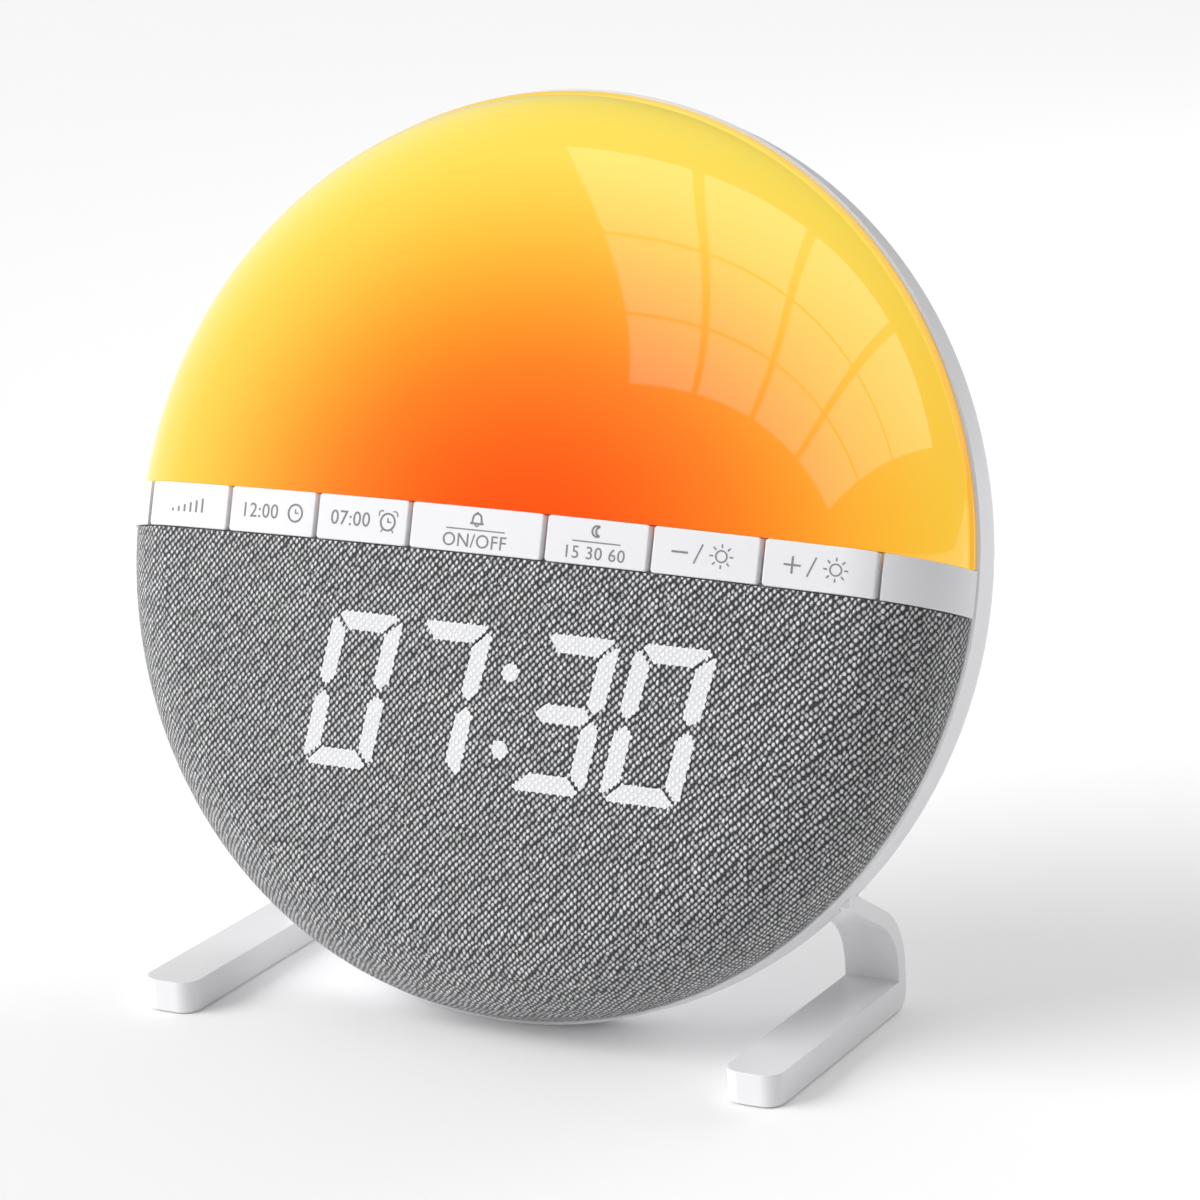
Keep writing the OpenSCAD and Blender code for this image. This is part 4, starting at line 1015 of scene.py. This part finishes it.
def metal(name, light, dark, rough, scale=900.0):
    material, tree, shader = blank_material(name, Metallic=1.0)
    streaks = place_group(tree, BRUSHED, Place=object_place(tree), Scale=scale).outputs
    feed_named(tree, shader, Base_Color=mix_colours(tree, streaks["Streak"], light, dark),
               Roughness=maths(tree, "MULTIPLY_ADD", streaks["Streak"], 0.22, rough),
               Normal=relief(tree, streaks["Height"], 0.004 * MM))
    return material


# %% Circuit board group
BOARD_TURN = (math.radians(-73.2), 0, 0)     # lays the pattern flat on the leaning boards


def build_traces():
    """Copper runs under the solder mask, as a mask and a height."""
    g, given, result = new_group("board_traces", ["Place"], ["Trace", "Height"])
    runs = add(g, "ShaderNodeTexBrick", offset=0.37, squash=1.0, in_Vector=given["Place"],
               in_Scale=260.0, in_Mortar_Size=0.05, in_Mortar_Smooth=0.2, in_Brick_Width=1.7,
               in_Row_Height=0.35).outputs["Fac"]
    feed_named(g, result, Trace=runs, Height=runs)
    return g


TRACES = build_traces()


def board(name, mask, copper):
    material, tree, shader = blank_material(name, Roughness=0.36)
    flat = add(tree, "ShaderNodeMapping", in_Rotation=BOARD_TURN, in_Vector=object_place(tree))
    traces = place_group(tree, TRACES, Place=flat.outputs[0]).outputs
    feed_named(tree, shader, Base_Color=mix_colours(tree, traces["Trace"], mask, copper),
               Normal=relief(tree, traces["Height"], 0.02 * MM))
    return material


# %% Foam and paper group
def build_fibre():
    """Short fibres or open cells: a height and a tone."""
    g, given, result = new_group("fibre_or_cells", ["Place", "Scale"], ["Height", "Tone"])
    cells = add(g, "ShaderNodeTexVoronoi", in_Vector=given["Place"],
                in_Scale=given["Scale"]).outputs["Distance"]
    feed_named(g, result, Height=cells, Tone=maths(g, "MULTIPLY", cells, 1.2, clamp=True))
    return g


FIBRE = build_fibre()


def fibrous(name, light, dark, rough, scale, depth_mm):
    material, tree, shader = blank_material(name, Roughness=rough)
    fibre = place_group(tree, FIBRE, Place=object_place(tree), Scale=scale).outputs
    feed_named(tree, shader, Base_Color=mix_colours(tree, fibre["Tone"], light, dark),
               Normal=relief(tree, fibre["Height"], depth_mm * MM))
    return material


# %% One material for each slot
BLACK = plastic("black_plastic_matt", (0.030, 0.030, 0.032), (0.022, 0.022, 0.024), 0.42)
RUBBER = plastic("pad_rubber_matt", (0.075, 0.075, 0.078), (0.055, 0.055, 0.058), 0.75,
                 grain_mm=0.03, grain_scale=1200.0)
FINISHES = {
    "white_shell": WHITE_SHELL, "white_leg": WHITE_LEG, "white_button": WHITE_BUTTON,
    "grey_frame": plastic("grey_frame_matt", (0.50, 0.50, 0.51), (0.44, 0.44, 0.45), 0.5),
    "diffuser": DIFFUSER, "cloth": CLOTH, "black_plastic": BLACK, "pad_rubber": RUBBER,
    "switch_metal": metal("switch_steel", (0.62, 0.62, 0.63), (0.46, 0.46, 0.47), 0.28),
    "circuit_board": board("green_circuit_board", (0.012, 0.085, 0.036), (0.05, 0.20, 0.085)),
    "board_aluminium": board("white_aluminium_board", (0.80, 0.80, 0.79), (0.70, 0.70, 0.69)),
    "led": plastic("led_phosphor", (0.86, 0.66, 0.16), (0.80, 0.58, 0.12), 0.35, dust=0.0),
    "reflector": plastic("reflector_white", (0.88, 0.88, 0.88), (0.84, 0.84, 0.84), 0.45),
    "segment": plastic("segment_milky", (0.82, 0.83, 0.85), (0.76, 0.77, 0.79), 0.4, dust=0.0),
    "pin_brass": metal("pin_brass", (0.78, 0.58, 0.24), (0.62, 0.44, 0.17), 0.25),
    "cell_steel": metal("cell_steel", (0.66, 0.66, 0.67), (0.52, 0.52, 0.54), 0.22, 700.0),
    "cone": fibrous("cone_paper", (0.045, 0.044, 0.043), (0.025, 0.025, 0.025), 0.8, 1400.0, 0.05),
    "foam": fibrous("gasket_foam", (0.09, 0.09, 0.09), (0.04, 0.04, 0.04), 0.95, 1900.0, 0.2),
    "screw_steel": metal("screw_zinc", (0.70, 0.71, 0.72), (0.55, 0.56, 0.58), 0.3),
    "lead_skin": plastic("lead_skin_black", (0.035, 0.035, 0.037), (0.028, 0.028, 0.03), 0.45),
}
for row in frame["record"]["subparts"]:
    node, material = frame["nodes"][row["node"]], FINISHES[row["material_slot"]]
    if not node.data.materials:
        node.data.materials.append(material)
    for slot in node.material_slots:
        slot.material = material
print("materials:", len(bpy.data.materials))

# %% [markdown]
# ## Studio
# A plain pale floor runs past the edge of the view. A large soft light stands to the upper
# left, and the room itself is bright, so shadows stay open. Glossy surfaces see a dimmer room
# than matt ones do, so the dome keeps its deep colour.

# %% Floor and room
PAPER, PAPER_LIFT, FLOOR_SIZE = (0.92, 0.92, 0.925), 0.05, 6.0

sheet = bmesh.new()
bmesh.ops.create_grid(sheet, x_segments=8, y_segments=8, size=FLOOR_SIZE)
paper, _, _ = blank_material("studio_paper", Roughness=0.7, Specular_IOR_Level=0.2,
                             Base_Color=PAPER, Emission_Color=PAPER,
                             Emission_Strength=PAPER_LIFT)
floor = placed("studio_floor", mesh_from(sheet, "studio_floor", paper))

ROOM_LIGHT, ROOM_FLAGGED = 0.74, 0.20       # overall, and where a dark card takes light away
SIDE_MIRRORED, FRONT_MIRRORED = 0.9, 0.02
BACKDROP = 0.947
WHITE = (1.0, 1.0, 1.0)
world = bpy.data.worlds.new("pale_studio")
bpy.context.scene.world = world
world.use_nodes = True
room = world.node_tree
room.nodes.clear()
outwards = add(room, "ShaderNodeTexCoord").outputs["Generated"]


def room_patch(towards, start, full, outside, inside):
    """A background that changes from one strength to another round a direction."""
    facing = vectors(room, "DOT_PRODUCT", outwards,
                     tuple((CAMERA_TURN @ Vector(towards)).normalized()), out=1)
    strength = smooth_range(room, facing, start, full, outside, inside)
    return add(room, "ShaderNodeBackground", in_Color=WHITE, in_Strength=strength)


def by_ray(kind, others, these):
    """One background for a kind of ray, and another for all the others."""
    return add(room, "ShaderNodeMixShader", in_0=path.outputs[kind], in_1=others.outputs[0],
               in_2=these.outputs[0])


seen = room_patch((0.60, 0.05, 0.78), 0.25, 0.9, ROOM_LIGHT, ROOM_FLAGGED)
mirrored = room_patch((-0.8, 0.0, -0.6), 0.35, 0.95, FRONT_MIRRORED, SIDE_MIRRORED)
backdrop = add(room, "ShaderNodeBackground", in_Color=WHITE, in_Strength=BACKDROP)
path = add(room, "ShaderNodeLightPath")
lit_room = by_ray("Is Camera Ray", by_ray("Is Glossy Ray", seen, mirrored), backdrop)
add(room, "ShaderNodeOutputWorld", in_Surface=lit_room.outputs[0])
bpy.context.scene.view_settings.view_transform = "Standard"
print("room light", ROOM_LIGHT)

# %% Soft lights
CENTRE = Vector((0, 0, 0.082))
KEY_STRENGTH, KEY_WIDTH = 2.35, math.radians(44)
RIM_SIZE, RIM_WATTS = 0.5, 1.9


def hang(lamp, direction, distance):
    """Puts a lamp in a direction given by the camera's right, up and back, facing the clock."""
    holder = placed(lamp.name, lamp)
    towards = (CAMERA_TURN @ Vector(direction)).normalized()
    turn = towards.to_track_quat("Z", "Y").to_matrix().to_4x4()
    holder.matrix_world = Matrix.Translation(CENTRE + towards * distance) @ turn
    holder.visible_glossy = False
    return holder


# A very large far panel gives even light over the whole floor, with soft shadows.
panel = bpy.data.lights.new("key_panel", "SUN")
panel.energy, panel.angle = KEY_STRENGTH, KEY_WIDTH
key_light = hang(panel, (-0.95, 0.50, 0.30), 3.0)
softbox = bpy.data.lights.new("rim_softbox", "AREA")
softbox.shape, softbox.size, softbox.size_y = "RECTANGLE", RIM_SIZE, RIM_SIZE
softbox.energy = RIM_WATTS
hang(softbox, (0.9, 0.55, -0.55), 0.9)
print("key light from", tuple(round(c, 2) for c in key_light.location))

# %% [markdown]
# ## Window in the dome
# A glossy dome mirrors a window as a curved grid. The grid is drawn on the dome first. Then each
# of its points is sent out into the room along the ray that the camera sees mirrored there, and
# the panes stand where those rays end.

# %% Follow a mirrored ray
GLASS = -DIFFUSER_STEP


def mirrored_from(x, y, away):
    """The point of the room that the camera sees mirrored at (x, y) on the dome."""
    normal = FACE_TURN @ dome_normal(x, y, GLASS)
    spot = FACE @ Vector((x, y, dome_height(math.hypot(x, y), GLASS)))
    look = (spot - EYE).normalized()
    return spot + (look - 2 * look.dot(normal) * normal) * away


# %% Window panes
WINDOW_GRID = [[(3.8, 73.4), (52.4, 61.2), (78.5, 24.3)],    # its top, middle and foot
               [(19.5, 50.7), (52.2, 43.0), (71.6, 19.9)],    # on the dome, in mm
               [(25.2, 31.4), (49.0, 27.2), (64.8, 12.3)]]
WINDOW_AWAY, WINDOW_BRIGHT, PANE_CUTS = 0.9, 2.3, 23
WINDOW_COLUMNS, WINDOW_ROWS, GLAZING_BAR, BAR_STRETCH = 4, 3, 0.017, 1.9


def through_three(t, values):
    """The curve through three values at 0, a half and 1."""
    a, b, c = values
    return (2 * (t - 0.5) * (t - 1) * a - 4 * t * (t - 1) * b + 2 * t * (t - 0.5) * c)


def window_point(u, w):
    rows = [[through_three(u, [p[i] for p in row]) for i in (0, 1)] for row in WINDOW_GRID]
    return [through_three(1 - w, [row[i] for row in rows]) * MM for i in (0, 1)]


def make_window():
    bm = bmesh.new()
    bmesh.ops.create_grid(bm, x_segments=WINDOW_COLUMNS, y_segments=WINDOW_ROWS, size=0.5)
    bmesh.ops.translate(bm, verts=bm.verts, vec=(0.5, 0.5, 0))
    bmesh.ops.scale(bm, verts=bm.verts, vec=(1, BAR_STRETCH, 1))
    bmesh.ops.inset_individual(bm, faces=bm.faces, thickness=GLAZING_BAR)
    panes = set(sorted(bm.faces, key=lambda f: f.calc_area())[-WINDOW_COLUMNS * WINDOW_ROWS:])
    bmesh.ops.delete(bm, geom=[f for f in bm.faces if f not in panes], context="FACES")
    bmesh.ops.subdivide_edges(bm, edges=bm.edges, cuts=PANE_CUTS, use_grid_fill=True)
    for v in bm.verts:
        v.co = mirrored_from(*window_point(v.co.x, v.co.y / BAR_STRETCH), WINDOW_AWAY)
    glow, _, _ = blank_material("window_daylight", Emission_Strength=WINDOW_BRIGHT,
                                Emission_Color=WHITE, Base_Color=(0, 0, 0))
    window = placed("studio_window", mesh_from(bm, "studio_window", glow))
    window.visible_diffuse = window.visible_camera = window.visible_shadow = False
    return window


window = make_window()
print("window panes stand round", tuple(round(c, 2) for c in window.data.vertices[0].co))
